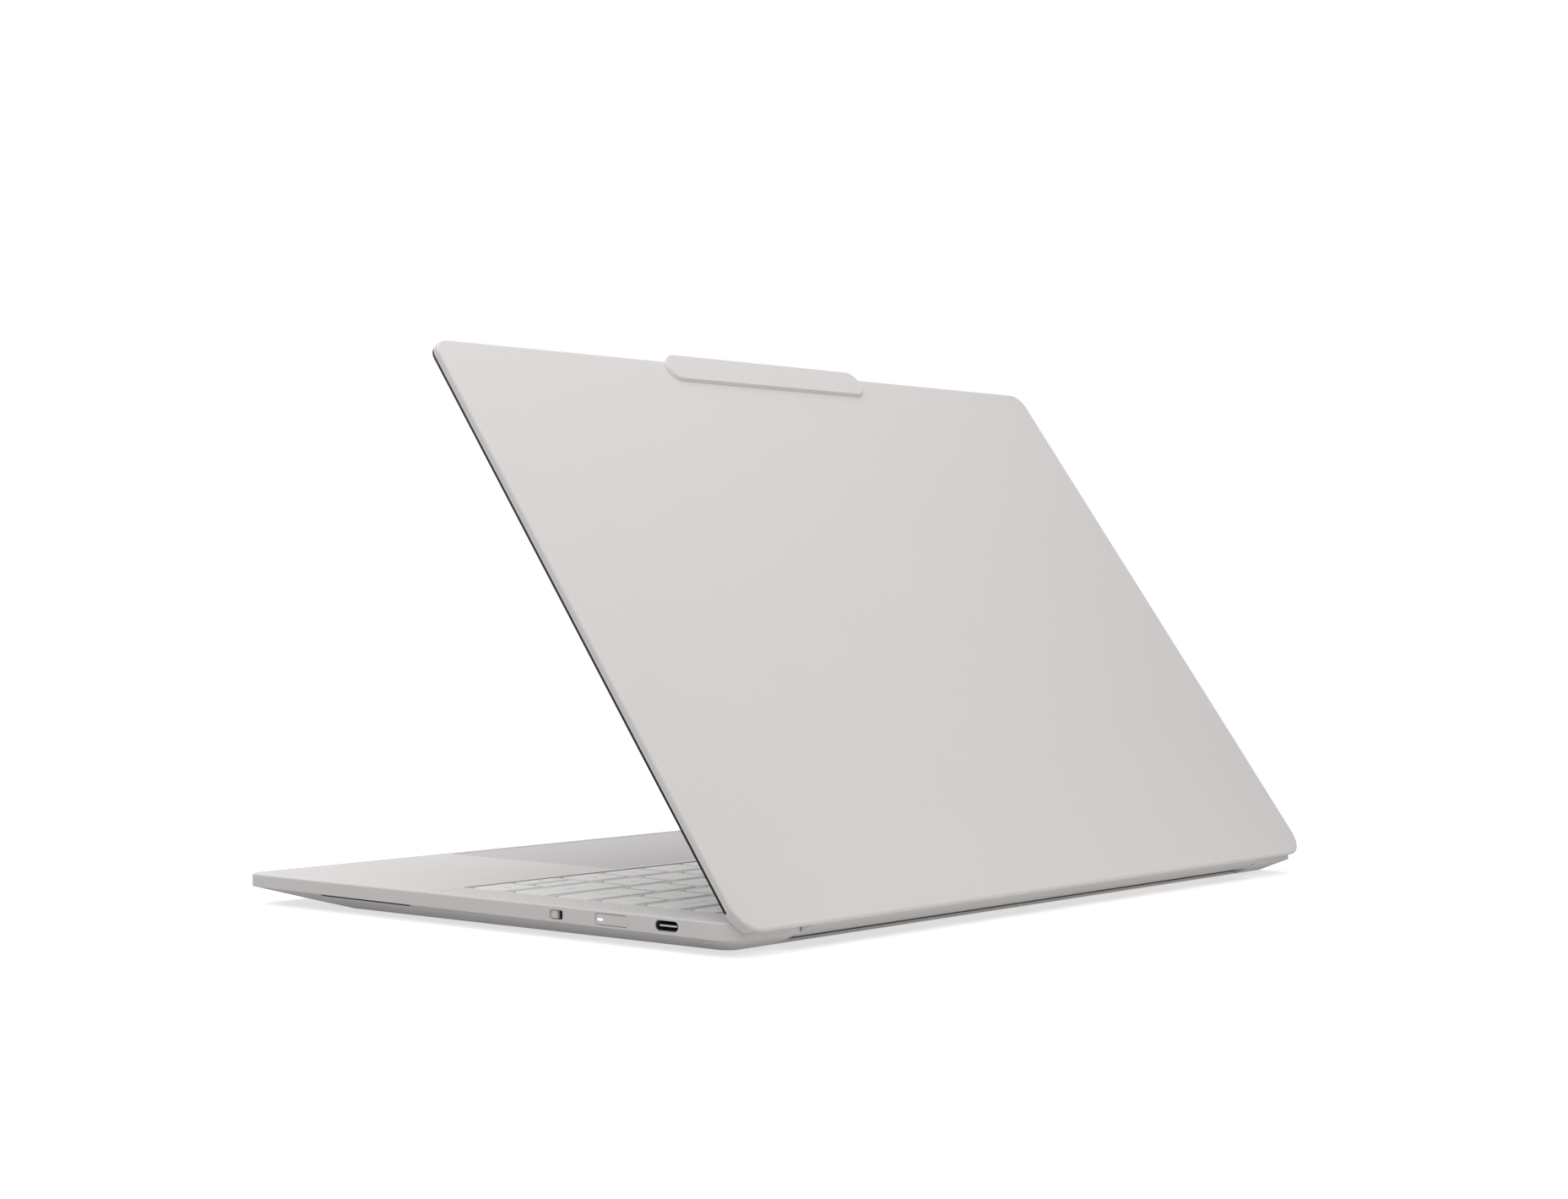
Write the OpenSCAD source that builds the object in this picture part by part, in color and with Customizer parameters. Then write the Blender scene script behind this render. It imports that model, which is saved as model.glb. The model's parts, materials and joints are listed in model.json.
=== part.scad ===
// Slim clamshell laptop computer, opened to about half way.
// Base pieces are drawn in the base frame: X to the user's right, Y away from the user, Z up from
// the table, with Y = 0 half way along the base. Lid pieces are drawn in the lid frame: the same
// axes with the lid shut, and its origin on the hinge axis.

/* [Base] */
// Width of the base and of the lid
base_w = 312; // [306:1:320]
// Depth of the base, front to back
base_d = 215.8; // [212:0.2:222]
// Height of the deck's top face above the table
deck_z = 10.2; // [10:0.1:11.5]
// Height of the flat underside above the table
floor_z = 1.26; // [1:0.02:1.6]
// Corner radius of the base, seen from above
base_r = 6.7; // [5:0.1:8]
// Height of the wall's lower edge at the front
crease_front_z = 6.1; // [5.8:0.1:6.4]
// Height of the wall's lower edge at the back
crease_rear_z = 5.1; // [4.8:0.1:5.5]
// How far the flat underside is set in from the side walls
under_inset = 8; // [6:0.5:10]
// Thickness of the side walls
wall_t = 1.2; // [1:0.1:1.4]
// Thickness of the deck plate
deck_t = 1; // [0.8:0.1:1.2]
// Thickness of the bottom cover
floor_t = 0.8; // [0.6:0.1:1]

/* [Lid] */
// Angle of the lid from shut
lid_angle = 53.6; // [20:0.1:118]
// Thickness of the lid
lid_t = 3.1; // [3:0.1:3.6]
// Gap between the shut lid and the deck
lid_gap = 0.5; // [0.4:0.1:0.8]
// Distance from the hinge axis to the lid's back edge
lid_setback = 3.6; // [3.5:0.1:3.8]
// Corner radius at the lid's top edge
lid_top_r = 6; // [5:0.5:8]
// Corner radius at the lid's hinge edge
lid_low_r = 9; // [7:0.5:10]
// Rounding of the lid's outer edge
lid_edge_r = 0.8; // [0.5:0.1:1]
// Thickness of the cover glass
glass_t = 0.9; // [0.7:0.1:1]
// Distance from the hinge axis to the glass's lower edge
glass_low = 4.3; // [4:0.1:6]

/* [Camera bar] */
// Width of the camera bar at its foot
bar_w = 104.6; // [90:0.2:120]
// How far the camera bar stands out of the lid's face
bar_h = 1.1; // [0.8:0.1:1.6]
// How far the camera bar stands over the lid's top edge
bar_over = 1.05; // [0.5:0.05:2]
// Height of the camera bar, foot to top edge
bar_d = 9.8; // [8:0.1:12]

/* [Hinge] */
// Distance from the base's back face to the hinge axis
hinge_inset = 3.75; // [3.65:0.05:3.9]
// Height of the hinge axis above the table
hinge_z = 6.62; // [6.5:0.02:7]
// Half width of the notch that holds the hinge cover
notch_x = 127; // [125:0.5:130]
// Radius of the hinge cover round the axis
barrel_r = 3.05; // [2.9:0.05:3.2]
// Radius of the hinge pins
pin_r = 1.5; // [1.2:0.1:1.6]
// Running clearance round the hinge pins
pin_gap = 0.05; // [0.03:0.01:0.08]

/* [Keyboard] */
// Half width of the keyboard opening
kb_x = 139.5; // [138:0.1:140.5]
// Front edge of the keyboard opening
kb_front = -20; // [-22:0.1:-18]
// Back edge of the keyboard opening
kb_rear = 88; // [87:0.1:89]
// Pitch of the letter keys along a row
key_pitch = 19.05; // [18.5:0.05:19.1]
// Pitch of the arrow keys along their row
arrow_pitch = 19.6; // [18.5:0.1:20]
// Pitch of the rows
row_pitch = 18.6; // [18:0.1:18.8]
// Gap between two keycaps
key_space = 3.2; // [2.6:0.1:3.6]
// Thickness of a keycap
key_t = 1.2; // [1:0.1:1.4]
// How far a key travels
key_travel = 1.1; // [0.8:0.1:1.2]
// Depth of the keyboard frame below the deck
kb_recess = 0.5; // [0.3:0.1:0.6]

/* [Touchpad] */
// Width of the touchpad
pad_w = 135; // [120:1:150]
// Depth of the touchpad
pad_d = 80; // [70:1:80]
// Distance from the base's front face to the touchpad
pad_inset = 4.5; // [4:0.1:8]

/* [Side features] */
// Middle of the power button along the side
power_y = 60.95; // [58:0.05:64]
// Length of the power button
power_l = 12.9; // [10:0.1:14]
// Height of the power button
power_h = 3.2; // [2.6:0.1:3.4]
// Middle of the camera shutter switch along the side
shutter_y = 38.3; // [36:0.1:41]
// Length of the shutter switch's slot
shutter_l = 5.4; // [5:0.1:6]
// Height of the shutter switch's slot
shutter_h = 2.8; // [2.4:0.1:3]
// How far the shutter switch slides
shutter_travel = 2.2; // [1.8:0.1:2.4]
// Middle of the rear socket along the side
port_y = 82.8; // [82:0.1:83.5]
// Middle of the second left socket along the side
port2_y = 66; // [60:0.5:68]
// Height of the sockets' middle
port_z = 7.74; // [7.6:0.02:7.8]

/* [Hidden] */

$fn = 48;
eps = 0.02;                 // overlap that keeps cuts clean
hair = 0.03;                // parting gap between two fixed covers

// Colours
silver_grey = [0.82, 0.80, 0.79];
key_grey = [0.84, 0.82, 0.81];
dark = [0.12, 0.12, 0.13];
steel = [0.62, 0.63, 0.65];
copper = [0.72, 0.45, 0.30];
board_green = [0.10, 0.24, 0.18];
black_glass = [0.05, 0.05, 0.06];

// Base, derived
half_w = base_w / 2;
half_d = base_d / 2;
deck_low = deck_z - deck_t;
crease_mid_z = (crease_front_z + crease_rear_z) / 2;
crease_tilt = atan((crease_front_z - crease_rear_z) / base_d);
notch_wall = 1.2;           // wall that closes the base at the notch's ends
notch_y = half_d - 7.25;    // front face of the notch
flat_front_y = -62;         // where the flat underside turns up to the front
flat_rear_y = half_d - 8.4; // where it ends in front of the notch

// Hinge and lid, derived
hinge_y = half_d - hinge_inset;
lid_in = deck_z + lid_gap - hinge_z;
lid_out = lid_in + lid_t;
lid_len = base_d - 0.4;
lid_top = lid_len - lid_setback;
lid_plate_t = 0.8;
lid_rim = 1.4;
lid_flap = 2;               // how far below the pins the lid's thin lower edge starts
rear_reach = hinge_y + (lid_setback - lid_edge_r) * cos(lid_angle)
    + (lid_out - lid_edge_r) * sin(lid_angle) + lid_edge_r;
base_shift = -(rear_reach - half_d) / 2;    // puts the whole open laptop's box over the origin

// Keyboard, derived
frame_top = deck_z - kb_recess;
frame_low = deck_low - 0.6;
frame_edge = 2;             // width of the flange glued under the deck
key_top = deck_z - 0.05;
key_gap = 0.3;              // clearance between a key and the frame
key_r = 1.7;
half_gap = 1.6;             // gap of the two half-height arrow keys
plate_z = 6.9;              // underside of the keyboard backplate
plate_t = 0.4;
fn_row_d = 14.2;            // depth of the function row
row_1 = kb_front + 0.4;     // front of the modifier row, then the rows behind it
row_2 = row_1 + row_pitch;
row_3 = row_2 + row_pitch;
row_4 = row_3 + row_pitch;
row_5 = row_4 + row_pitch;
row_6 = row_5 + row_pitch;
arrow_x = kb_x - 3 * arrow_pitch;
shift_x = kb_x - 2 * arrow_pitch + 0.2;
enter_x = 107.5;            // left edges of the last cells of rows 3, 4 and 5
slash_x = 121.2;
backspace_x = 106.2;
letters_4 = slash_x - 12 * key_pitch;
letters_3 = enter_x - 11 * key_pitch;
letters_2 = shift_x - 10 * key_pitch;
digits_5 = backspace_x - 12 * key_pitch;
fn_pitch = 2 * kb_x / 15;
space_x0 = -kb_x + 1.25 * key_pitch + 3 * key_pitch;
space_x1 = arrow_x - 2 * key_pitch;

// [left edge, front edge, width, depth] of each key's cell, gap included
function_cells = [for (i = [1:14]) [-kb_x + i * fn_pitch, row_6, fn_pitch, fn_row_d]];
number_cells = concat([[-kb_x, row_5, digits_5 + kb_x, row_pitch]],
    [for (i = [0:11]) [digits_5 + i * key_pitch, row_5, key_pitch, row_pitch]]);
upper_cells = concat([for (i = [0:11]) [letters_4 + i * key_pitch, row_4, key_pitch, row_pitch]],
    [[slash_x, row_4, kb_x - slash_x, row_pitch]]);
home_cells = [for (i = [0:10]) [letters_3 + i * key_pitch, row_3, key_pitch, row_pitch]];
lower_cells = [for (i = [0:9]) [letters_2 + i * key_pitch, row_2, key_pitch, row_pitch]];
modifier_cells = concat([[-kb_x, row_1, 1.25 * key_pitch, row_pitch]],
    [for (i = [0:2]) [-kb_x + (1.25 + i) * key_pitch, row_1, key_pitch, row_pitch]],
    [for (i = [0:1]) [space_x1 + i * key_pitch, row_1, key_pitch, row_pitch]]);
escape_cell = [-kb_x, row_6, fn_pitch, fn_row_d];
backspace_cell = [backspace_x, row_5, kb_x - backspace_x, row_pitch];
tab_cell = [-kb_x, row_4, letters_4 + kb_x, row_pitch];
caps_cell = [-kb_x, row_3, letters_3 + kb_x, row_pitch];
enter_cell = [enter_x, row_3, kb_x - enter_x, row_pitch];
left_shift_cell = [-kb_x, row_2, letters_2 + kb_x, row_pitch];
right_shift_cell = [shift_x, row_2, kb_x - shift_x, row_pitch];
space_cell = [space_x0, row_1, space_x1 - space_x0, row_pitch];
left_arrow_cell = [arrow_x, row_1, arrow_pitch, row_pitch];
right_arrow_cell = [arrow_x + 2 * arrow_pitch, row_1, arrow_pitch, row_pitch];
up_arrow_cell = [arrow_x + arrow_pitch, row_1 + row_pitch / 2, arrow_pitch, row_pitch / 2];
down_arrow_cell = [arrow_x + arrow_pitch, row_1, arrow_pitch, row_pitch / 2];
single_cells = [escape_cell, backspace_cell, tab_cell, caps_cell, enter_cell, left_shift_cell,
    right_shift_cell, space_cell, left_arrow_cell, right_arrow_cell];
half_cells = [up_arrow_cell, down_arrow_cell];
full_cells = concat(function_cells, number_cells, upper_cells, home_cells, lower_cells,
    modifier_cells, single_cells);

// Touchpad, derived
pad_y0 = -half_d + pad_inset;
pad_gap = 0.3;
pad_t = 0.8;

// Speaker grilles
grille_x0 = 141.6;
grille_x1 = 154.2;
grille_y0 = -22;
grille_y1 = 86;
grille_t = 0.6;
grille_pitch = 1;
grille_slot = 0.5;

// Side features, derived
power_z = 7.68;
shutter_z = 7.6;
board_x = half_w - 1.8;     // outer face of the side switch board
port_w = 8.94;
port_h = 3.16;
port_wall = 0.3;
port_len = 7.4;
slot_y0 = -69.2;            // side sound slots under the walls
slot_y1 = -26.6;

// Inside, derived
inner_floor = floor_z + floor_t;
boss_r = 2.6;
screw_r = 1;
screw_spots = [[-120, 94.8], [0, 94.8], [120, 94.8], [-130, -56], [130, -56]];
fan_x = -77;
fan_y = 55;
fan_w = 66;
fan_r = 25;
fan_skin = 0.4;
fan_hub_r = 9;
fan_low = inner_floor + 0.3;
fan_high = plate_z - 0.3;
board_low = 5.2;            // motherboard, hung under the keyboard's backplate
board_high = 6.2;
board_x0 = -38;
board_x1 = 118;
board_y0 = 14;
board_y1 = 89;
chip_low = 3.6;             // memory chips on the motherboard's underside
chip_w = 12;
chip_d = 24;
chip_spots = [[60, 20], [78, 20], [60, 50], [78, 50]];
pipe_low = 2.6;
pipe_w = 8;
pipe_x = -34;               // where the pipe turns back to the fins
pipe_y = 53;
fin_x0 = -106;
fin_x1 = -44;
fin_y0 = 90.6;
fin_y1 = fin_y0 + pipe_w;
fin_low = 4.1;
fin_t = 0.3;
card_low = 3.4;             // plug-in cards, hung from the backplate on posts
card_high = 4.2;
card_chip_low = 2.5;
card_y0 = -14;
card_y1 = 8;
cell_w = 57;
cell_pitch = 59;
cell_y0 = -83;
cell_y1 = -27;
cell_high = 7.9;

// Hinges, derived
ear_x0 = notch_x + notch_wall + 0.6;
ear_x1 = ear_x0 + 2;
leaf_y = kb_rear + frame_edge + 1;
arm_x0 = 106;
arm_x1 = notch_x - 0.8;
leaf_z0 = lid_in + glass_t + 0.1;
leaf_z1 = leaf_z0 + 0.8;
leaf_len = 11.2;
knuckle_r = 2.25;
cable_x0 = -64;
cable_x1 = -52;

// ---------------------------------------------------------------- frames and shapes

module at_base() translate([0, base_shift, 0]) children();

module at_lid()
    at_base() translate([0, hinge_y, hinge_z]) rotate([-lid_angle, 0, 0]) children();

module both_sides() {
    children();
    mirror([1, 0, 0]) children();
}

// The plane of the wall's lower edge, which falls a little to the back
module along_crease() translate([0, 0, crease_mid_z]) rotate([-crease_tilt, 0, 0]) children();

// Rectangle about X = 0 from y0 to y1 with radius r0 at its front corners and r1 at its back ones
module round_rect(w, y0, y1, r0, r1) {
    translate([-w / 2, y0 + r0]) square([w, y1 - y0 - r0 - r1]);
    translate([-w / 2 + r0, y0]) square([w - 2 * r0, 2 * r0]);
    translate([-w / 2 + r1, y1 - 2 * r1]) square([w - 2 * r1, 2 * r1]);
    for (side = [-1, 1]) {
        translate([side * (w / 2 - r0), y0 + r0]) circle(r0);
        translate([side * (w / 2 - r1), y1 - r1]) circle(r1);
    }
}

module round_plate(w, y0, y1, r0, r1, z0, z1)
    translate([0, 0, z0]) linear_extrude(z1 - z0) round_rect(w, y0, y1, r0, r1);

// Box given by its two corners
module block(low, high) translate(low) cube(high - low);

// Rounded rectangle in the YZ plane, extruded along X from x0 to x1
module side_plug(x0, x1, y, z, length, height, r)
    translate([x0, y, z]) rotate([90, 0, 90]) linear_extrude(x1 - x0)
        round_rect(length, -height / 2, height / 2, r, r);

// ---------------------------------------------------------------- covers of the base

// Side view of the base, set in by t under a flat roof: a full round at the back
module side_profile(t, roof) {
    round_r = deck_z - hinge_z;
    translate([-half_d + t, 0]) square([base_d - round_r - t, roof]);
    translate([half_d - round_r, 0]) square([round_r - t, hinge_z]);
    translate([half_d - round_r, hinge_z]) circle(round_r - t);
}

module upper_body(t, roof)
    intersection() {
        round_plate(base_w - 2 * t, -half_d + t, half_d - t, base_r - t, base_r - t, 0, roof);
        translate([-half_w, 0, 0]) rotate([90, 0, 90]) linear_extrude(base_w)
            side_profile(t, roof);
    }

// Lower body set in by t: a flat floor that chamfers up to the walls and ramps up to the front
module lower_body(t) {
    thin = 0.01;
    front_x = base_w - 2 * under_inset - t;
    hull() {
        along_crease() round_plate(base_w - 2 * t, -half_d + t, half_d - t, base_r - t, base_r - t,
            -thin, 0);
        round_plate(front_x, flat_front_y, flat_rear_y - t / 2, 0.5, 4, floor_z + t,
            floor_z + t + thin);
        round_plate(front_x, -89, -88, 0.4, 0.4, 3.05 + t, 3.05 + t + thin);
        round_plate(front_x, -104 + t, -100, 3, 1, 4.4 + t, 4.4 + t + thin);
    }
}

module port_hole(y)
    side_plug(half_w - port_len - 1, half_w + 1, y, port_z, port_w + 0.1, port_h + 0.1,
        (port_h + 0.1) / 2 - eps);

module grille_seat() {
    block([grille_x0, grille_y0, deck_z - grille_t], [grille_x1, grille_y1, deck_z + 1]);
    block([grille_x0 + 1.4, grille_y0 + 1.4, deck_low - 1],
        [grille_x1 - 1.4, grille_y1 - 1.4, deck_z]);
}

module deck_cover() color(silver_grey) at_base()
    difference() {
        union() {
            difference() {
                upper_body(0, deck_z);
                difference() {
                    upper_body(wall_t, deck_low);
                    block([-notch_x - notch_wall, notch_y - notch_wall, 0],
                        [notch_x + notch_wall, half_d, deck_z]);
                }
            }
            for (spot = screw_spots)
                translate([spot[0], spot[1], crease_mid_z - 1.5])
                    cylinder(r = boss_r, h = deck_low - crease_mid_z + 1.5 + eps);
        }
        block([-notch_x, notch_y, 0], [notch_x, half_d + 1, deck_z + 1]);
        block([-notch_x + 5, notch_y - notch_wall - 1, 0], [notch_x - 5, notch_y + 1, 5.6]);
        along_crease() block([-half_w - 1, -half_d - 1, -20], [half_w + 1, half_d + 1, 0]);
        round_plate(2 * kb_x, kb_front, kb_rear, 1.5, 1.5, deck_low - 1, deck_z + 1);
        round_plate(pad_w + 2 * pad_gap, pad_y0 - pad_gap, pad_y0 + pad_d + pad_gap, 2.3, 2.3,
            deck_low - 1, deck_z + 1);
        both_sides() {
            grille_seat();
            port_hole(port_y);
            translate([notch_x - 1, hinge_y, hinge_z]) rotate([0, 90, 0])
                cylinder(r = pin_r + 0.1, h = notch_wall + 2);
        }
        mirror([1, 0, 0]) port_hole(port2_y);
        side_plug(half_w - wall_t - 1, half_w + 1, power_y, power_z, power_l + 0.3, power_h + 0.3,
            1.15);
        side_plug(half_w - wall_t - 1, half_w + 1, shutter_y, shutter_z, shutter_l, shutter_h, 0.6);
        for (spot = screw_spots)
            translate([spot[0], spot[1], 0]) cylinder(r = screw_r, h = deck_low - 1);
    }

module bottom_cover() color(silver_grey) at_base()
    difference() {
        lower_body(0);
        difference() {
            translate([0, 0, eps]) lower_body(floor_t);
            block([-notch_x - floor_t, notch_y - notch_wall, 0],
                [notch_x + floor_t, half_d, deck_z]);
        }
        along_crease() block([-half_w - 1, -half_d - 1, -hair], [half_w + 1, half_d + 1, 10]);
        block([-notch_x, notch_y - notch_wall, 0], [notch_x, half_d + 1, deck_z]);
        both_sides() along_crease()
            block([half_w - 3.5, slot_y0, -0.6], [half_w + 1, slot_y1, -0.1]);
        for (row = [0:3])
            for (column = [0:17])
                translate([fan_x - 27.2 + column * 3.2, fan_y - 22 + row * 11.5, 0])
                    cube([1.4, 9.5, floor_z + floor_t + 1]);
        for (spot = screw_spots)
            translate([spot[0], spot[1], 0]) {
                cylinder(r = screw_r + 0.2, h = inner_floor + 1);
                cylinder(r = 2.3, h = floor_z + 0.4);
            }
    }

module front_foot_strip() color(dark) at_base()
    round_plate(216, -60, -54.5, 2.7, 2.7, 0, floor_z);

module rear_foot_strip() color(dark) at_base()
    round_plate(228, 80.4, 85.6, 2.5, 2.5, 0, floor_z);

module bottom_screws() color(steel) at_base()
    for (spot = screw_spots)
        translate([spot[0], spot[1], 0])
            difference() {
                union() {
                    translate([0, 0, floor_z + 0.02]) cylinder(r = 2.1, h = 0.36);
                    translate([0, 0, floor_z + 0.1]) cylinder(r = screw_r - 0.03, h = 5.4);
                }
                translate([0, 0, floor_z]) cylinder(r = 0.7, h = 0.25);
            }

// ---------------------------------------------------------------- sound

module speaker_grille() color(silver_grey)
    difference() {
        block([grille_x0 + hair, grille_y0 + hair, deck_z - grille_t],
            [grille_x1 - hair, grille_y1 - hair, deck_z]);
        for (y = [grille_y0 + 2:grille_pitch:grille_y1 - 2])
            translate([grille_x0 + 2, y - grille_slot / 2, 0])
                cube([grille_x1 - grille_x0 - 4, grille_slot, deck_z + 1]);
    }

module speaker_grille_right() at_base() speaker_grille();
module speaker_grille_left() at_base() mirror([1, 0, 0]) speaker_grille();

module speaker() color(dark)
    difference() {
        block([142.4, -19, 4.6], [148.2, 72, deck_low - 0.1]);
        translate([143.2, -17.5, deck_low - 1.1]) cube([4.2, 88, 2]);
    }

module speaker_right() at_base() speaker();
module speaker_left() at_base() mirror([1, 0, 0]) speaker();

// ---------------------------------------------------------------- keyboard

// Plan of a key's cell, shrunk by the given gap
module cell_plan(cell, gap, r)
    translate([cell[0] + cell[2] / 2, cell[1] + cell[3] / 2])
        round_rect(cell[2] - gap, (gap - cell[3]) / 2, (cell[3] - gap) / 2, r, r);

module key_cap(cell, gap = key_space) color(key_grey)
    translate([0, 0, key_top - key_t]) linear_extrude(key_t) cell_plan(cell, gap, key_r);

module key_group(cells) for (cell = cells) key_cap(cell);

module keyboard_frame() color(silver_grey) at_base()
    difference() {
        union() {
            round_plate(2 * kb_x - 2 * hair, kb_front + hair, kb_rear - hair, 1.5, 1.5, frame_low,
                frame_top);
            round_plate(2 * (kb_x + frame_edge), kb_front - frame_edge, kb_rear + frame_edge, 1.5,
                1.5, frame_low, deck_low);
        }
        translate([0, 0, frame_low - 1]) linear_extrude(3) {
            for (cell = full_cells) cell_plan(cell, key_space - 2 * key_gap, key_r + key_gap);
            for (cell = half_cells) cell_plan(cell, half_gap - 2 * key_gap, key_r + key_gap);
        }
    }

module keyboard_backplate() color(steel) at_base() {
    round_plate(2 * (kb_x + 1), kb_front - 1, kb_rear + 1, 1, 1, plate_z, plate_z + plate_t);
    difference() {
        round_plate(2 * (kb_x + 1), kb_front - 1, kb_rear + 1, 1, 1, plate_z + plate_t, frame_low);
        round_plate(2 * (kb_x - 0.6), kb_front + 0.6, kb_rear - 0.6, 0.5, 0.5, plate_z, deck_z);
    }
}

module key_domes() color(dark) at_base() {
    sheet_z = plate_z + plate_t;
    round_plate(2 * (kb_x - 1), kb_front + 1, kb_rear - 1, 0.5, 0.5, sheet_z, sheet_z + 0.15);
    for (cell = concat(full_cells, half_cells))
        translate([cell[0] + cell[2] / 2, cell[1] + cell[3] / 2, sheet_z])
            cylinder(r = 2.4, h = 0.45, $fn = 24);
}

module function_keys() at_base() key_group(function_cells);
module number_keys() at_base() key_group(number_cells);
module upper_letter_keys() at_base() key_group(upper_cells);
module home_letter_keys() at_base() key_group(home_cells);
module lower_letter_keys() at_base() key_group(lower_cells);
module modifier_keys() at_base() key_group(modifier_cells);
module escape_key() at_base() key_cap(escape_cell);
module backspace_key() at_base() key_cap(backspace_cell);
module tab_key() at_base() key_cap(tab_cell);
module caps_lock_key() at_base() key_cap(caps_cell);
module enter_key() at_base() key_cap(enter_cell);
module left_shift_key() at_base() key_cap(left_shift_cell);
module right_shift_key() at_base() key_cap(right_shift_cell);
module space_key() at_base() key_cap(space_cell);
module left_arrow_key() at_base() key_cap(left_arrow_cell);
module right_arrow_key() at_base() key_cap(right_arrow_cell);
module up_arrow_key() at_base() key_cap(up_arrow_cell, half_gap);
module down_arrow_key() at_base() key_cap(down_arrow_cell, half_gap);

// ---------------------------------------------------------------- touchpad and side controls

module touchpad() color(silver_grey) at_base()
    round_plate(pad_w, pad_y0, pad_y0 + pad_d, 2, 2, key_top - pad_t, key_top);

module touchpad_bracket() color(steel) at_base() {
    top = key_top - pad_t - 0.45;
    round_plate(pad_w + 6, pad_y0 + 1, pad_y0 + pad_d + 1.2, 1, 1, top - 0.5, top);
    for (side = [-1, 1])
        translate([side * (pad_w / 2 + 1.8) - 0.9, pad_y0 + 2, top - eps])
            cube([1.8, pad_d - 2, deck_low - top + eps]);
    translate([0, pad_y0 + 12, top - eps]) cylinder(r = 3, h = 0.1 + eps);
}

module power_button() color(silver_grey) at_base()
    side_plug(half_w - 1.3, half_w - 0.08, power_y, power_z, power_l, power_h, 1);

module power_light() color("white") at_base()
    side_plug(half_w - 0.08, half_w - 0.02, power_y - power_l / 2 + 1.9, power_z - 0.1, 2.1, 0.6,
        0.28);

module shutter_slider() color(silver_grey) at_base() {
    nub_l = shutter_l - shutter_travel - 0.5;
    side_plug(half_w - 1.5, half_w - 0.3, shutter_y - shutter_l / 2 + 0.25 + nub_l / 2, shutter_z,
        nub_l, shutter_h - 0.6, 0.3);
}

module side_switch_board() color(dark) at_base() {
    block([board_x - 1.6, 31, 6.3], [board_x - 0.9, 71, deck_low - 0.1]);
    block([board_x - 1, shutter_y - 4, 6.3], [board_x, shutter_y + 4, deck_low - 0.1]);
    block([board_x - 1, power_y - 3, 6.3], [board_x, power_y + 3, deck_low - 0.1]);
}

// Socket with its tongue, mouth at the right-hand wall
module usb_c_port(y) {
    x1 = half_w - 0.15;
    r = port_h / 2 - eps;
    color(steel) difference() {
        side_plug(x1 - port_len, x1, y, port_z, port_w, port_h, r);
        side_plug(x1 - port_len + 0.8, x1 + 1, y, port_z, port_w - 2 * port_wall,
            port_h - 2 * port_wall, r - port_wall);
    }
    color(dark) side_plug(x1 - port_len + 0.5, x1 - 0.6, y, port_z, 6.7, 0.7, 0.3);
}

module usb_c_port_right() at_base() usb_c_port(port_y);

module usb_c_ports_left() at_base() mirror([1, 0, 0]) {
    usb_c_port(port_y);
    usb_c_port(port2_y);
}

// ---------------------------------------------------------------- inside the base

module motherboard() color(board_green) at_base()
    difference() {
        union() {
            block([board_x0, board_y0, board_low], [board_x1, board_y1, board_high]);
            for (spot = chip_spots)
                translate([spot[0], spot[1], chip_low])
                    cube([chip_w, chip_d, board_low - chip_low + 0.1]);
            translate([100, 74, chip_low + 0.2])
                cube([chip_w, chip_w, board_low - chip_low - 0.1]);
        }
        for (x = [board_x0 + 6, board_x1 - 6])
            for (y = [board_y0 + 6, board_y1 - 6])
                translate([x, y, 0]) cylinder(r = 1.5, h = board_high + 1);
    }

module heat_spreader() color(copper) at_base()
    block([0, pipe_y - 15, fin_low], [40, pipe_y + 15, board_low - hair]);

// Flattened pipe from the processor to the fins
module heat_pipe() color(copper) at_base() {
    pipe_r = pipe_w / 2;
    fin_mid = fin_y0 + pipe_r;
    translate([0, 0, pipe_low]) linear_extrude(fin_low - pipe_low - hair) {
        translate([20, pipe_y]) circle(pipe_r);
        for (y = [pipe_y, fin_mid])
            translate([pipe_x, y]) circle(pipe_r);
        translate([pipe_x, pipe_y - pipe_r]) square([20 - pipe_x, pipe_w]);
        translate([pipe_x - pipe_r, pipe_y]) square([pipe_w, fin_mid - pipe_y]);
        translate([fin_x0, fin_y0]) square([pipe_x - fin_x0, pipe_w]);
    }
}

module fin_stack() color(copper) at_base() {
    block([fin_x0, fin_y0, fin_low], [fin_x1, fin_y1, fin_low + fin_t]);
    block([fin_x0, fin_y0, fan_high - fin_t], [fin_x1, fin_y1, fan_high]);
    for (x = [fin_x0:2:fin_x1 - fin_t])
        translate([x, fin_y0, fin_low]) cube([fin_t, fin_y1 - fin_y0, fan_high - fin_low]);
}

module fan_housing() color(dark) at_base() translate([fan_x, fan_y, 0]) {
    drum_r = fan_r + 4;
    vent_r = fan_r - 7;
    difference() {
        block([-fan_w / 2, 2 - fan_w / 2, fan_low], [fan_w / 2, fan_w / 2, fan_high]);
        translate([0, 0, fan_low + fan_skin])
            cylinder(r = drum_r, h = fan_high - fan_low - 2 * fan_skin);
        block([-drum_r, 0, fan_low + fan_skin], [drum_r, fan_w, fan_high - fan_skin]);
        translate([0, 0, fan_low + 1]) cylinder(r = vent_r, h = fan_high);
        difference() {
            cylinder(r = vent_r, h = fan_high - 1);
            cylinder(r = fan_hub_r - 1, h = fan_high);
            for (turn = [0:60:120])
                rotate([0, 0, turn]) cube([2.4, 2 * vent_r + 4, 2 * fan_high], center = true);
        }
    }
    translate([0, 0, fan_low]) cylinder(r = 1, h = fan_high - fan_low - 0.5);
}

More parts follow.
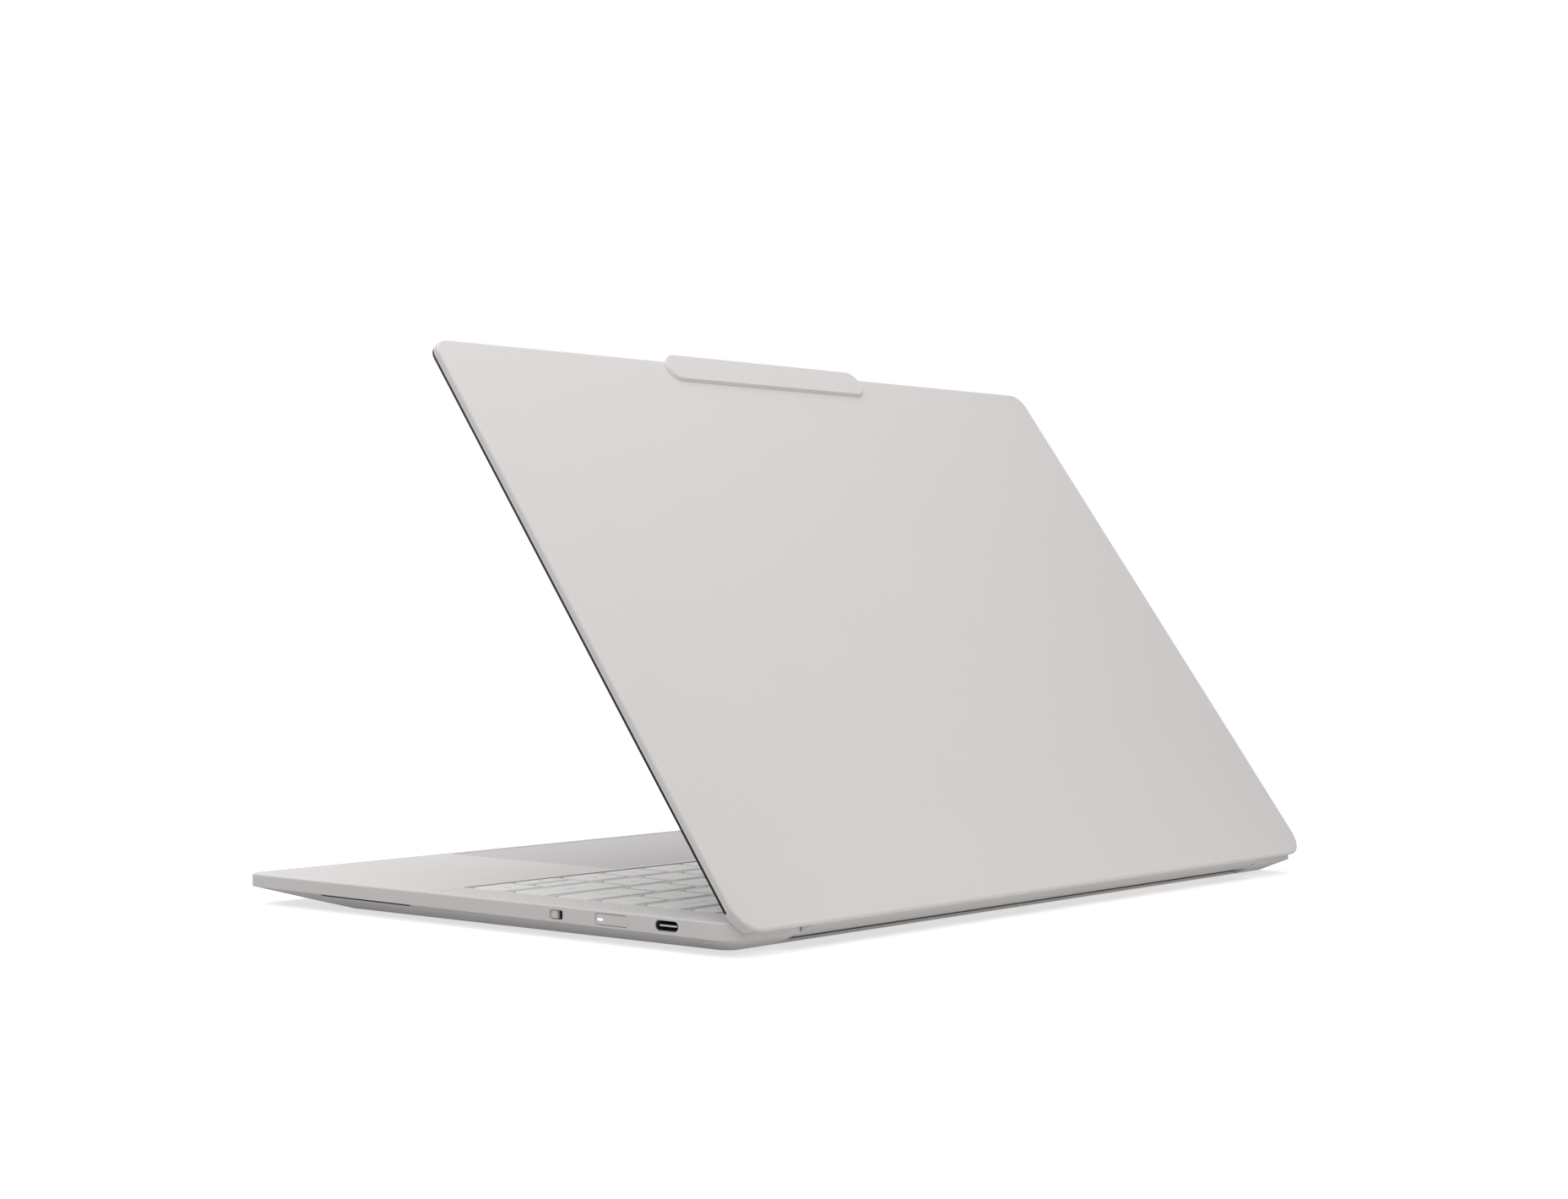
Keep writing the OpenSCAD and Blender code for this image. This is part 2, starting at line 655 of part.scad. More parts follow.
module fan_rotor() color([0.2, 0.2, 0.21]) at_base()
    translate([fan_x, fan_y, fan_low + 2 * fan_skin])
        difference() {
            union() {
                cylinder(r = fan_hub_r, h = 2.6);
                for (turn = [0:12:348])
                    rotate([0, 0, turn]) translate([fan_hub_r - 1, -0.2, 0.3])
                        rotate([0, 0, 18]) cube([fan_r - fan_hub_r + 0.2, 0.4, 2.2]);
                translate([0, 0, 1.2]) difference() {
                    cylinder(r = fan_r, h = 0.4);
                    translate([0, 0, -1]) cylinder(r = fan_r - 1.4, h = 3);
                }
            }
            translate([0, 0, -1]) cylinder(r = 1.05, h = 5);
        }

// One battery cell, from its left edge
module battery_cell(x)
    translate([x + cell_w / 2, 0, 0])
        round_plate(cell_w, cell_y0, cell_y1, 2, 2, card_high - 0.1, cell_high);

module battery_pack() color(dark) at_base() {
    block([-2 * cell_pitch, cell_y0 - 1, card_high - 0.3],
        [2 * cell_pitch, cell_y1 + 1, card_high]);
    for (i = [-2:1])
        battery_cell(i * cell_pitch + (cell_pitch - cell_w) / 2);
}

// Plug-in card from x0 to x1 with its chips, each given as [left edge, width]
module card(x0, x1, chips) {
    block([x0, card_y0, card_low], [x1, card_y1, card_high]);
    for (chip = chips)
        translate([chip[0], card_y0 + 2, card_chip_low])
            cube([chip[1], card_y1 - card_y0 - 4, card_low - card_chip_low + 0.1]);
    for (x = [x0 + 3, x1 - 3])
        for (y = [card_y0 + 3, card_y1 - 3])
            translate([x, y, card_low]) cylinder(r = 1.2, h = plate_z - card_low - hair);
}

module ssd_card() color(board_green) at_base()
    card(36, 116, [[42, 20], [68, 18], [90, 18]]);

module wireless_card() color(board_green) at_base()
    card(-36, -6, [[-32, 20]]);

// ---------------------------------------------------------------- hinges

module hinge_bracket() color(steel)
    difference() {
        union() {
            translate([ear_x0, hinge_y, hinge_z]) rotate([0, 90, 0])
                cylinder(r = 2.2, h = ear_x1 - ear_x0);
            block([ear_x0, leaf_y, deck_low - 1.3], [ear_x1, hinge_y, deck_low - 0.5]);
            block([ear_x0, leaf_y, deck_low - 0.9],
                [ear_x0 + 14, hinge_y - 4, deck_low - 0.05]);
        }
        translate([ear_x0 - 1, hinge_y, hinge_z]) rotate([0, 90, 0]) cylinder(r = pin_r, h = 4);
        for (y = [leaf_y + 3, leaf_y + 7])
            translate([ear_x0 + 9, y, 0]) cylinder(r = 0.9, h = deck_z);
    }

module hinge_bracket_right() at_base() hinge_bracket();
module hinge_bracket_left() at_base() mirror([1, 0, 0]) hinge_bracket();

module hinge_pin() color(steel)
    translate([arm_x0 + 1, hinge_y, hinge_z]) rotate([0, 90, 0]) {
        cylinder(r = pin_r, h = ear_x1 - arm_x0 - 1);
        translate([0, 0, ear_x1 - arm_x0 - 1]) cylinder(r = pin_r + 0.5, h = 0.8);
    }

module hinge_pin_right() at_base() hinge_pin();
module hinge_pin_left() at_base() mirror([1, 0, 0]) hinge_pin();

module hinge_arm() color(steel)
    difference() {
        union() {
            translate([arm_x0, 0, 0]) rotate([0, 90, 0])
                cylinder(r = knuckle_r, h = arm_x1 - arm_x0);
            block([arm_x0 + 2, -1.2, 1], [arm_x1 - 1, 1.2, leaf_z1]);
            block([arm_x0 + 2, -leaf_len, leaf_z0], [arm_x1 - 1, 1.2, leaf_z1]);
        }
        translate([arm_x0 - 1, 0, 0]) rotate([0, 90, 0])
            cylinder(r = pin_r + pin_gap, h = arm_x1 - arm_x0 + 2);
        for (x = [arm_x0 + 6, arm_x1 - 5])
            translate([x, -leaf_len + 3.5, leaf_z0 - 1]) cylinder(r = 1, h = 3);
    }

module hinge_arm_right() at_lid() hinge_arm();
module hinge_arm_left() at_lid() mirror([1, 0, 0]) hinge_arm();

// Section of the hinge cover: a round barrel that runs up into the lid
module barrel_section() {
    cap = lid_out - lid_plate_t - 0.15;
    circle(barrel_r);
    polygon([[-barrel_r, 0], [barrel_r, 0], [lid_setback - 0.3, cap], [-glass_low + 0.1, cap],
        [-glass_low + 0.1, lid_in], [-barrel_r, lid_in]]);
}

module hinge_cover() color(silver_grey) at_lid() {
    cover_x = notch_x - 0.6;
    difference() {
        translate([-cover_x, 0, 0]) rotate([90, 0, 90]) linear_extrude(2 * cover_x)
            barrel_section();
        translate([-cover_x - 1, 0, 0]) rotate([0, 90, 0])
            cylinder(r = knuckle_r + 0.05, h = 2 * cover_x + 2);
        both_sides() {
            block([arm_x0 + 1.8, -1.4, 0], [cover_x + 1, 1.4, lid_out]);
            block([arm_x0 + 1.8, -20, leaf_z0 - 0.1], [cover_x + 1, 1.4, lid_out]);
        }
        block([cable_x0 - 2, -20, leaf_z0 - 0.1], [cable_x1 + 2, 1.4, lid_out]);
        block([cable_x0 - 2, -1.4, 0], [cable_x1 + 2, 1.4, lid_out]);
    }
}

// ---------------------------------------------------------------- lid

module lid_plate(inset, z0, z1)
    round_plate(base_w - 2 * inset, -lid_top + inset, lid_setback - inset, lid_top_r - inset,
        lid_low_r - inset, z0, z1);

module lid_cover() color(silver_grey) at_lid() {
    round_z = lid_out - lid_edge_r;
    thin = 0.01;
    difference() {
        hull()
            for (turn = [0:22.5:90])
                lid_plate(lid_edge_r * (1 - cos(turn)), turn == 0 ? lid_in : round_z,
                    round_z + lid_edge_r * sin(turn) + (turn == 0 ? thin : 0));
        block([-half_w - 1, -lid_top - 1, lid_in - 1],
            [half_w + 1, -glass_low, lid_in + glass_t + eps]);
        round_plate(base_w - 2 * lid_rim, -lid_top + lid_rim, -glass_low, lid_top_r - lid_rim, 1,
            lid_in, lid_out - lid_plate_t);
        block([-notch_x + 0.4, -glass_low - 3, lid_in - 1],
            [notch_x - 0.4, lid_setback + 1, lid_out - lid_plate_t]);
        block([-half_w - 1, lid_flap, lid_in - 1],
            [half_w + 1, lid_setback + 1, lid_out - lid_plate_t]);
        translate([0, -lid_top + 4.2, lid_in]) cylinder(r = 2.4, h = lid_t - 0.3);
    }
}

module camera_bar() color(silver_grey) at_lid() {
    foot_y = -lid_top - bar_over + bar_d;
    thin = 0.01;
    slope = 0.7;
    hull() {
        round_plate(bar_w, -lid_top - bar_over + 0.4, foot_y, 4, 5, lid_out + hair,
            lid_out + hair + thin);
        round_plate(bar_w - 0.5, -lid_top - bar_over + 0.1, foot_y - slope * 0.5, 4, 5,
            lid_out + bar_h * 0.65, lid_out + bar_h * 0.65 + thin);
        round_plate(bar_w - 2 * slope, -lid_top - bar_over + 0.5, foot_y - slope, 4, 5,
            lid_out + bar_h - thin, lid_out + bar_h);
    }
    hull() {
        round_plate(bar_w - 10, -lid_top - bar_over + 0.4, -lid_top - hair, 0.3, 0.3,
            lid_out - 1.2, lid_out + 0.3);
        round_plate(bar_w - 5, -lid_top - bar_over + 0.2, -lid_top - hair, 0.3, 0.3,
            lid_out - 0.4, lid_out + 0.3);
    }
}

module camera_module() color(dark) at_lid() {
    translate([0, -lid_top + 4.2, lid_in + glass_t + 0.1]) cylinder(r = 2.2, h = 1.6);
    block([-16, -lid_top + 2, lid_in + glass_t + 0.1], [16, -lid_top + 6.2, lid_in + glass_t + 1]);
}

module cover_glass() color(black_glass) at_lid()
    round_plate(base_w - 0.2, -lid_top + 0.1, -glass_low - 0.05, lid_top_r - 0.1, 0.6, lid_in,
        lid_in + glass_t);

module display_panel() color(dark) at_lid() {
    low = lid_in + glass_t + hair;
    edge_y = -leaf_len - 0.6;
    round_plate(304, -lid_top + 7, edge_y, 1, 1, low, low + 1.15);
    block([-90, edge_y, low + 0.1], [90, edge_y + 4.4, low + 1]);
}

module display_cable() color([0.25, 0.22, 0.2]) at_lid() {
    block([cable_x0, -4.4, leaf_z0], [cable_x1, 0.8, leaf_z0 + 0.5]);
    block([cable_x0, 0.3, 0], [cable_x1, 0.8, leaf_z0 + 0.1]);
    block([cable_x0 - 32, -0.3, -1.2], [cable_x1, 0.8, 0.1]);
}

deck_cover();
bottom_cover();
front_foot_strip();
rear_foot_strip();
bottom_screws();
speaker_grille_right();
speaker_grille_left();
speaker_right();
speaker_left();
keyboard_frame();
keyboard_backplate();
key_domes();
function_keys();
number_keys();
upper_letter_keys();
home_letter_keys();
lower_letter_keys();
modifier_keys();
escape_key();
backspace_key();
tab_key();
caps_lock_key();
enter_key();
left_shift_key();
right_shift_key();
space_key();
left_arrow_key();
right_arrow_key();
up_arrow_key();
down_arrow_key();
touchpad();
touchpad_bracket();
power_button();
power_light();
shutter_slider();
side_switch_board();
usb_c_port_right();
usb_c_ports_left();
motherboard();
heat_spreader();
heat_pipe();
fin_stack();
fan_housing();
fan_rotor();
battery_pack();
ssd_card();
wireless_card();
hinge_bracket_right();
hinge_bracket_left();
hinge_pin_right();
hinge_pin_left();
hinge_arm_right();
hinge_arm_left();
hinge_cover();
lid_cover();
camera_bar();
camera_module();
cover_glass();
display_panel();
display_cable();
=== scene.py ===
"""Looks for a slim clamshell laptop computer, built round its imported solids.

Sizes are in metres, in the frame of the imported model: +X to the user's right, +Y away from the
user and +Z up from the table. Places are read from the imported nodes' own boxes.
"""

import json
import logging
import math
from contextlib import contextmanager
from dataclasses import dataclass, field
from enum import Enum
from typing import Any, Callable, Iterator, Sequence

import bmesh
import bpy
from mathutils import Matrix, Vector

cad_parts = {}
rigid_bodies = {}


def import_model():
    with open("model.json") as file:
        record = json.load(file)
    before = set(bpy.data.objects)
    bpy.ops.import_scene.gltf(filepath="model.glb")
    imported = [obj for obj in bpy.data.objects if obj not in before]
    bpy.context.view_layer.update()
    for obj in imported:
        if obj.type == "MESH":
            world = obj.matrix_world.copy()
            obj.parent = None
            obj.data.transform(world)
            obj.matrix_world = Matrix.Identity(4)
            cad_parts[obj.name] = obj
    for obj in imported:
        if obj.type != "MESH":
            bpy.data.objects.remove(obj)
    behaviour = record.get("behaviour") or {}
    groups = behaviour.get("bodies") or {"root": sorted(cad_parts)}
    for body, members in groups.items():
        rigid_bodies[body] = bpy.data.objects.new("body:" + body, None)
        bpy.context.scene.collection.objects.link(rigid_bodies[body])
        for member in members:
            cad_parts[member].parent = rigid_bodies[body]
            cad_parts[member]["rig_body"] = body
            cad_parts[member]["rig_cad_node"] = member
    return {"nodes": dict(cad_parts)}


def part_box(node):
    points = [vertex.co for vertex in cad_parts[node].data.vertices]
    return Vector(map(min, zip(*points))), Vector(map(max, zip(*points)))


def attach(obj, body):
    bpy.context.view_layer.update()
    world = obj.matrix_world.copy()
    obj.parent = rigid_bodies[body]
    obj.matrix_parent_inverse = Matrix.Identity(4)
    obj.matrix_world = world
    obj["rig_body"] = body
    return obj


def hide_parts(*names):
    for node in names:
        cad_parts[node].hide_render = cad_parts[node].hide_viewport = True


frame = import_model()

logging.basicConfig(level=logging.INFO, format="%(message)s")
log = logging.getLogger("laptop")

Thing = bpy.types.Object
Colour = tuple[float, float, float, float]

MM = 0.001
HAIR = 0.01 * MM  # closer than this, two heights count as one
SAME_PLACE = 0.002 * MM  # closer than this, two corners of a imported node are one
FLAT_BEND = 0.3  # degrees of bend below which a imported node's faces are one flat face
LEVEL = 0.99  # how nearly two directions agree that count as the same
NEARLY = 0.9  # how nearly an edge or a face lies along an axis to count as along it


class Side(Enum):
    """A side of the laptop, as its sign along X."""

    LEFT = -1
    RIGHT = 1


class Axis(Enum):
    """An axis of the frame, as the index of its coordinate."""

    X = 0
    Y = 1
    Z = 2


# ---------------------------------------------------------------- shader nodes


class Signal:
    """A number that varies over a surface. Its operators add Math nodes."""

    def __init__(self, tree: bpy.types.NodeTree, socket: bpy.types.NodeSocket) -> None:
        """Wrap an output socket of a node in tree."""
        self.tree = tree
        self.socket = socket

    def _math(self, operation: str, first: Any, second: Any) -> "Signal":
        """Add one Math node.

        Args:
            operation: The node's operation.
            first: A Signal or a number.
            second: A Signal or a number.

        Returns:
            The node's output.
        """
        node = self.tree.nodes.new("ShaderNodeMath")
        node.operation = operation
        for socket, value in zip(node.inputs, (first, second)):
            if isinstance(value, Signal):
                self.tree.links.new(value.socket, socket)
            else:
                socket.default_value = value
        return Signal(self.tree, node.outputs[0])

    def __add__(self, other: Any) -> "Signal":
        """Sum with a Signal or a number."""
        return self._math("ADD", self, other)

    def __sub__(self, other: Any) -> "Signal":
        """Difference from a Signal or a number."""
        return self._math("SUBTRACT", self, other)

    def __rsub__(self, other: Any) -> "Signal":
        """Difference of a number and this."""
        return self._math("SUBTRACT", other, self)

    def __mul__(self, other: Any) -> "Signal":
        """Product with a Signal or a number."""
        return self._math("MULTIPLY", self, other)

    def __gt__(self, other: Any) -> "Signal":
        """1 where this is greater, and 0 elsewhere."""
        return self._math("GREATER_THAN", self, other)

    __radd__ = __add__
    __rmul__ = __mul__

    def highest(self, other: Any) -> "Signal":
        """The greater of this and a Signal or a number."""
        return self._math("MAXIMUM", self, other)


class Nodes:
    """The nodes of one material or world."""

    def __init__(self, tree: bpy.types.NodeTree) -> None:
        """Start on a node tree."""
        self.tree = tree

    def join(self, value: Any, socket: bpy.types.NodeSocket) -> None:
        """Link a Signal or an output to an input, or set the input's own value.

        Args:
            value: A Signal, an output, a number or a colour.
            socket: The input.
        """
        source = value.socket if isinstance(value, Signal) else value
        if isinstance(source, bpy.types.NodeSocket):
            self.tree.links.new(source, socket)
        else:
            socket.default_value = source

    def node(
        self, kind: str, settings: dict[str, Any] | None = None, values: dict[Any, Any] | None = None
    ) -> bpy.types.Node:
        """Add any node.

        Args:
            kind: The node's type.
            settings: The node's own settings, set first. "stops" holds a ramp's (place, grey) pairs.
            values: What each input socket gets: a number, a colour, an output or a Signal.

        Returns:
            The node.
        """
        made = self.tree.nodes.new(kind)
        for name, setting in (settings or {}).items():
            if name == "stops":
                for stop, (place, grey) in zip(made.color_ramp.elements, setting):
                    stop.position = place
                    stop.color = (grey, grey, grey, 1)
            else:
                setattr(made, name, setting)
        for name, value in (values or {}).items():
            self.join(value, made.inputs[name])
        return made

    def mix(self, amount: Any, first: Any, second: Any) -> bpy.types.NodeSocket:
        """Mix two colours: first where amount is 0 and second where it is 1."""
        settings = {"data_type": "RGBA"}
        return self.node("ShaderNodeMix", settings, {0: amount, 6: first, 7: second}).outputs[2]

    def signal(self, socket: bpy.types.NodeSocket) -> Signal:
        """Wrap an output of this tree."""
        return Signal(self.tree, socket)

    def within(self, value: Signal, ends: tuple[float, float]) -> Signal:
        """Rise from 0 at the first end to 1 at the second, and stay level outside them."""
        values = {"Value": value, "From Min": ends[0], "From Max": ends[1]}
        return self.signal(self.node("ShaderNodeMapRange", None, values).outputs[0])

    def background(self, bounced: float, mirrored: float, seen: float) -> bpy.types.NodeSocket:
        """A grey that differs for the light it gives, for reflections and for the camera.

        Args:
            bounced: The grey that lights the object.
            mirrored: The grey that shows in and through metal and glass.
            seen: The grey that the camera sees.

        Returns:
            The colour.
        """
        rays = self.node("ShaderNodeLightPath")
        glossy, passing, camera = (
            self.signal(rays.outputs[f"Is {kind} Ray"]) for kind in ("Glossy", "Transmission", "Camera")
        )
        colour = self.mix(glossy.highest(passing), grey(bounced), grey(mirrored))
        return self.mix(camera, colour, grey(seen))


class Surface(Nodes):
    """A material with one Principled shader and patterns on Object coordinates."""

    def __init__(self, name: str) -> None:
        """Make the material."""
        self.material = bpy.data.materials.new(name)
        self.material.use_nodes = True
        super().__init__(self.material.node_tree)
        self.shader = self.tree.nodes["Principled BSDF"]
        self.place = self.node("ShaderNodeTexCoord").outputs["Object"]

    def noise(
        self, size: float, detail: float = 2.0, stretch: Sequence[float] = (1, 1, 1)
    ) -> Signal:
        """Soft noise from 0 to 1.

        Args:
            size: Size of a blotch in metres.
            detail: Octaves of finer noise.
            stretch: How often the pattern repeats along X, Y and Z, against its size.

        Returns:
            The noise.
        """
        scale = tuple(part / size for part in stretch)
        mapped = self.node("ShaderNodeMapping", None, {"Vector": self.place, "Scale": scale})
        made = self.node(
            "ShaderNodeTexNoise", None, {"Vector": mapped.outputs[0], "Scale": 1.0, "Detail": detail}
        )
        return self.signal(made.outputs[0])

    def cells(self, size: float) -> Signal:
        """Distance to the nearest of many scattered points, against their spacing in metres."""
        made = self.node(
            "ShaderNodeTexVoronoi", None, {"Vector": self.place, "Scale": 1.0 / size}
        )
        return self.signal(made.outputs[0])

    def relief(self, height: Signal, strength: float, depth: float) -> None:
        """Feed a Bump node from a height, for a relief of that depth in metres."""
        bump = self.node(
            "ShaderNodeBump", None, {"Strength": strength, "Distance": depth, "Height": height}
        )
        self.join(bump.outputs[0], self.shader.inputs["Normal"])

    def paint(self, **values: Any) -> None:
        """Set the shader's sockets, each named in lower case with underscores.

        Args:
            values: What each socket gets, as in node().
        """
        names = {socket.name.lower().replace(" ", "_"): socket for socket in self.shader.inputs}
        for name, value in values.items():
            self.join(value, names[name])


# ---------------------------------------------------------------- finishes


def grey(level: float, warmth: float = 0.0) -> Colour:
    """A grey of that linear level, a little redder and less blue as warmth rises."""
    return (level * (1 + warmth), level, level * (1 - 0.6 * warmth), 1.0)


@dataclass(frozen=True)
class Finish:
    """What a piece is made of: its material, and its slot in the record."""

    name: str
    slot: str
    colour: Colour
    roughness: float

    def material(self) -> bpy.types.Material:
        """The finish's material, made the first time that it is asked for.

        Returns:
            The material.
        """
        found = bpy.data.materials.get(self.name)
        if found is None:
            surface = Surface(self.name)
            self.lay(surface)
            found = surface.material
        return found

    def shade(self, factor: float) -> Colour:
        """The finish's colour, made lighter or darker."""
        return tuple(part * factor for part in self.colour[:3]) + (1.0,)

    def lay(self, surface: Surface) -> None:
        """Build the nodes. Each kind of finish has its own.

        Args:
            surface: The new material's nodes.
        """
        raise NotImplementedError

    def dress(self, obj: Thing) -> None:
        """Make this the only finish of obj."""
        obj.data.materials.clear()
        obj.data.materials.append(self.material())


@dataclass(frozen=True)
class BlastedMetal(Finish):
    """Bead-blasted and anodised metal: fine pits, and a satin sheen."""

    grain: float = 0.22 * MM
    mottle: float = 30 * MM
    pit_share: float = 0.75
    spread: float = 0.035
    sway: float = 0.12
    strength: float = 0.25
    depth: float = 0.02 * MM
    gloss: float = 0.12

    def lay(self, surface: Surface) -> None:
        """Fine pits over a faint broad mottle.

        Args:
            surface: The new material's nodes.
        """
        pits = surface.noise(self.grain, 3.0)
        mottle = surface.noise(self.mottle, 2.0)
        tone = pits * self.pit_share + mottle * (1 - self.pit_share)
        colour = surface.mix(tone, self.shade(1 - self.spread), self.shade(1 + self.spread))
        rough = self.roughness + (pits - 0.5) * self.sway
        surface.paint(base_color=colour, roughness=rough, specular_ior_level=self.gloss)
        surface.relief(pits, self.strength, self.depth)


@dataclass(frozen=True)
class MouldedPlastic(Finish):
    """Moulded plastic or rubber with a fine spark-eroded grain."""

    grain: float = 0.3 * MM
    spread: float = 0.06
    sway: float = 0.15
    strength: float = 0.3
    depth: float = 0.02 * MM

    def lay(self, surface: Surface) -> None:
        """An even colour with a fine grain.

        Args:
            surface: The new material's nodes.
        """
        pits = surface.noise(self.grain, 2.0)
        colour = surface.mix(pits, self.shade(1 - self.spread), self.shade(1 + self.spread))
        surface.paint(base_color=colour, roughness=self.roughness + (pits - 0.5) * self.sway)
        surface.relief(pits, self.strength, self.depth)


@dataclass(frozen=True)
class BrushedMetal(Finish):
    """Bare metal, brushed along one axis."""

    along: Axis = Axis.X
    scratch: float = 0.2 * MM
    pull: float = 0.03
    sway: float = 0.15
    strength: float = 0.2
    depth: float = 0.01 * MM

    def lay(self, surface: Surface) -> None:
        """Long fine scratches along the axis.

        Args:
            surface: The new material's nodes.
        """
        stretch = [1.0, 1.0, 1.0]
        stretch[self.along.value] = self.pull
        lines = surface.noise(self.scratch, 3.0, stretch)
        colour = surface.mix(lines, self.shade(0.85), self.shade(1.12))
        rough = self.roughness + lines * self.sway
        surface.paint(base_color=colour, roughness=rough, metallic=1.0)
        surface.relief(lines, self.strength, self.depth)


@dataclass(frozen=True)
class PolishedGlass(Finish):
    """Black-backed polished glass with faint smears."""

    gloss: float = 0.25
    smear: float = 40 * MM
    sway: float = 0.04

    def lay(self, surface: Surface) -> None:
        """A dark colour under a clear, hardly smeared gloss.

        Args:
            surface: The new material's nodes.
        """
        smears = surface.noise(self.smear, 4.0)
        colour = surface.mix(smears, self.shade(0.8), self.shade(1.3))
        rough = self.roughness + smears * self.sway
        surface.paint(base_color=colour, roughness=rough, specular_ior_level=self.gloss)


@dataclass(frozen=True)
class FrostedGlass(Finish):
    """Etched glass over paint, satin to the touch."""

    gloss: float = 0.12
    grain: float = 0.12 * MM
    spread: float = 0.015
    sway: float = 0.06
    strength: float = 0.12
    depth: float = 0.01 * MM

    def lay(self, surface: Surface) -> None:
        """A fine etched sparkle.

        Args:
            surface: The new material's nodes.
        """
        etch = surface.noise(self.grain, 2.0)
        colour = surface.mix(etch, self.shade(1 - self.spread), self.shade(1 + self.spread))
        rough = self.roughness + etch * self.sway
        surface.paint(base_color=colour, roughness=rough, specular_ior_level=self.gloss)
        surface.relief(etch, self.strength, self.depth)


@dataclass(frozen=True)
class CircuitBoard(Finish):
    """Solder mask over copper tracks."""

    track: float = 2.2 * MM
    bare: float = 0.32
    lighter: float = 1.7
    strength: float = 0.3
    depth: float = 0.03 * MM

    def lay(self, surface: Surface) -> None:
        """Tracks that show through the mask as lighter, raised lines.

        Args:
            surface: The new material's nodes.
        """
        tracks = surface.cells(self.track)
        raised = tracks > self.bare
        colour = surface.mix(raised, self.colour, self.shade(self.lighter))
        surface.paint(base_color=colour, roughness=self.roughness)
        surface.relief(raised, self.strength, self.depth)


@dataclass(frozen=True)
class GlowingLens(Finish):
    """A clear lens with a lamp behind it."""

    glow: float = 1.0
    unevenness: float = 0.8 * MM

    def lay(self, surface: Surface) -> None:
        """A glow that falls a little unevenly over the lens.

        Args:
            surface: The new material's nodes.
        """
        spread = surface.noise(self.unevenness, 1.0)
        colour = surface.mix(spread, self.colour, self.shade(0.93))
        surface.paint(
            base_color=colour,
            roughness=self.roughness,
            emission_color=colour,
            emission_strength=self.glow,
        )


SHELL = BlastedMetal("shell_metal", "shell", (0.715, 0.692, 0.682, 1.0), 0.5)
# The hinge cover's colour is the shell's tone made about an eighth lighter. The extra lightness is
# painted light, standing in for light from below and behind that reaches the cover too weakly here.
HINGE_PLASTIC_PAINTED_LIGHT = MouldedPlastic("hinge_plastic", "hinge_plastic", (0.80, 0.78, 0.768, 1.0), 0.5)
# The keycaps' colour is the shell's tone made about an eighth lighter. The extra lightness is painted
# light, making up for the shade that the lid casts over the keys.
KEYCAP_PAINTED_LIGHT = MouldedPlastic("keycap_plastic", "keycap", (0.80, 0.788, 0.775, 1.0), 0.55)
LEGEND = MouldedPlastic("legend_ink", "keycap", grey(0.24, 0.01), 0.5)
KEYBOARD_PLATE = MouldedPlastic("keyboard_plate", "keyboard_plate", grey(0.70, 0.015), 0.5)
# The touchpad's colour is the shell's tone made about a sixth darker. Part of that is the pad's own
# slightly darker tone, and part is painted shade for the lid's shadow over the deck.
PAD_GLASS_PAINTED_SHADE = FrostedGlass("touchpad_glass", "frosted_glass", (0.605, 0.585, 0.58, 1.0), 0.5)
SCREEN_GLASS = PolishedGlass("screen_glass", "black_glass", grey(0.012), 0.04)
SCREEN_PANEL = PolishedGlass("screen_panel", "black_glass", grey(0.028), 0.04)
PANEL = MouldedPlastic("display_black", "panel", grey(0.02), 0.35)
RUBBER = MouldedPlastic("foot_rubber", "rubber", grey(0.09), 0.8)
BLACK_PLASTIC = MouldedPlastic("black_plastic", "black_plastic", grey(0.018), 0.45)
STEEL = BrushedMetal("brushed_steel", "steel", grey(0.55), 0.3)
COPPER = BrushedMetal("bare_copper", "copper", (0.72, 0.36, 0.22, 1.0), 0.3)
BOARD = CircuitBoard("solder_mask", "board", (0.012, 0.06, 0.035, 1.0), 0.35)
WHITE_LENS = GlowingLens("white_lens", "light", grey(0.95), 0.3)


# ---------------------------------------------------------------- modelling steps


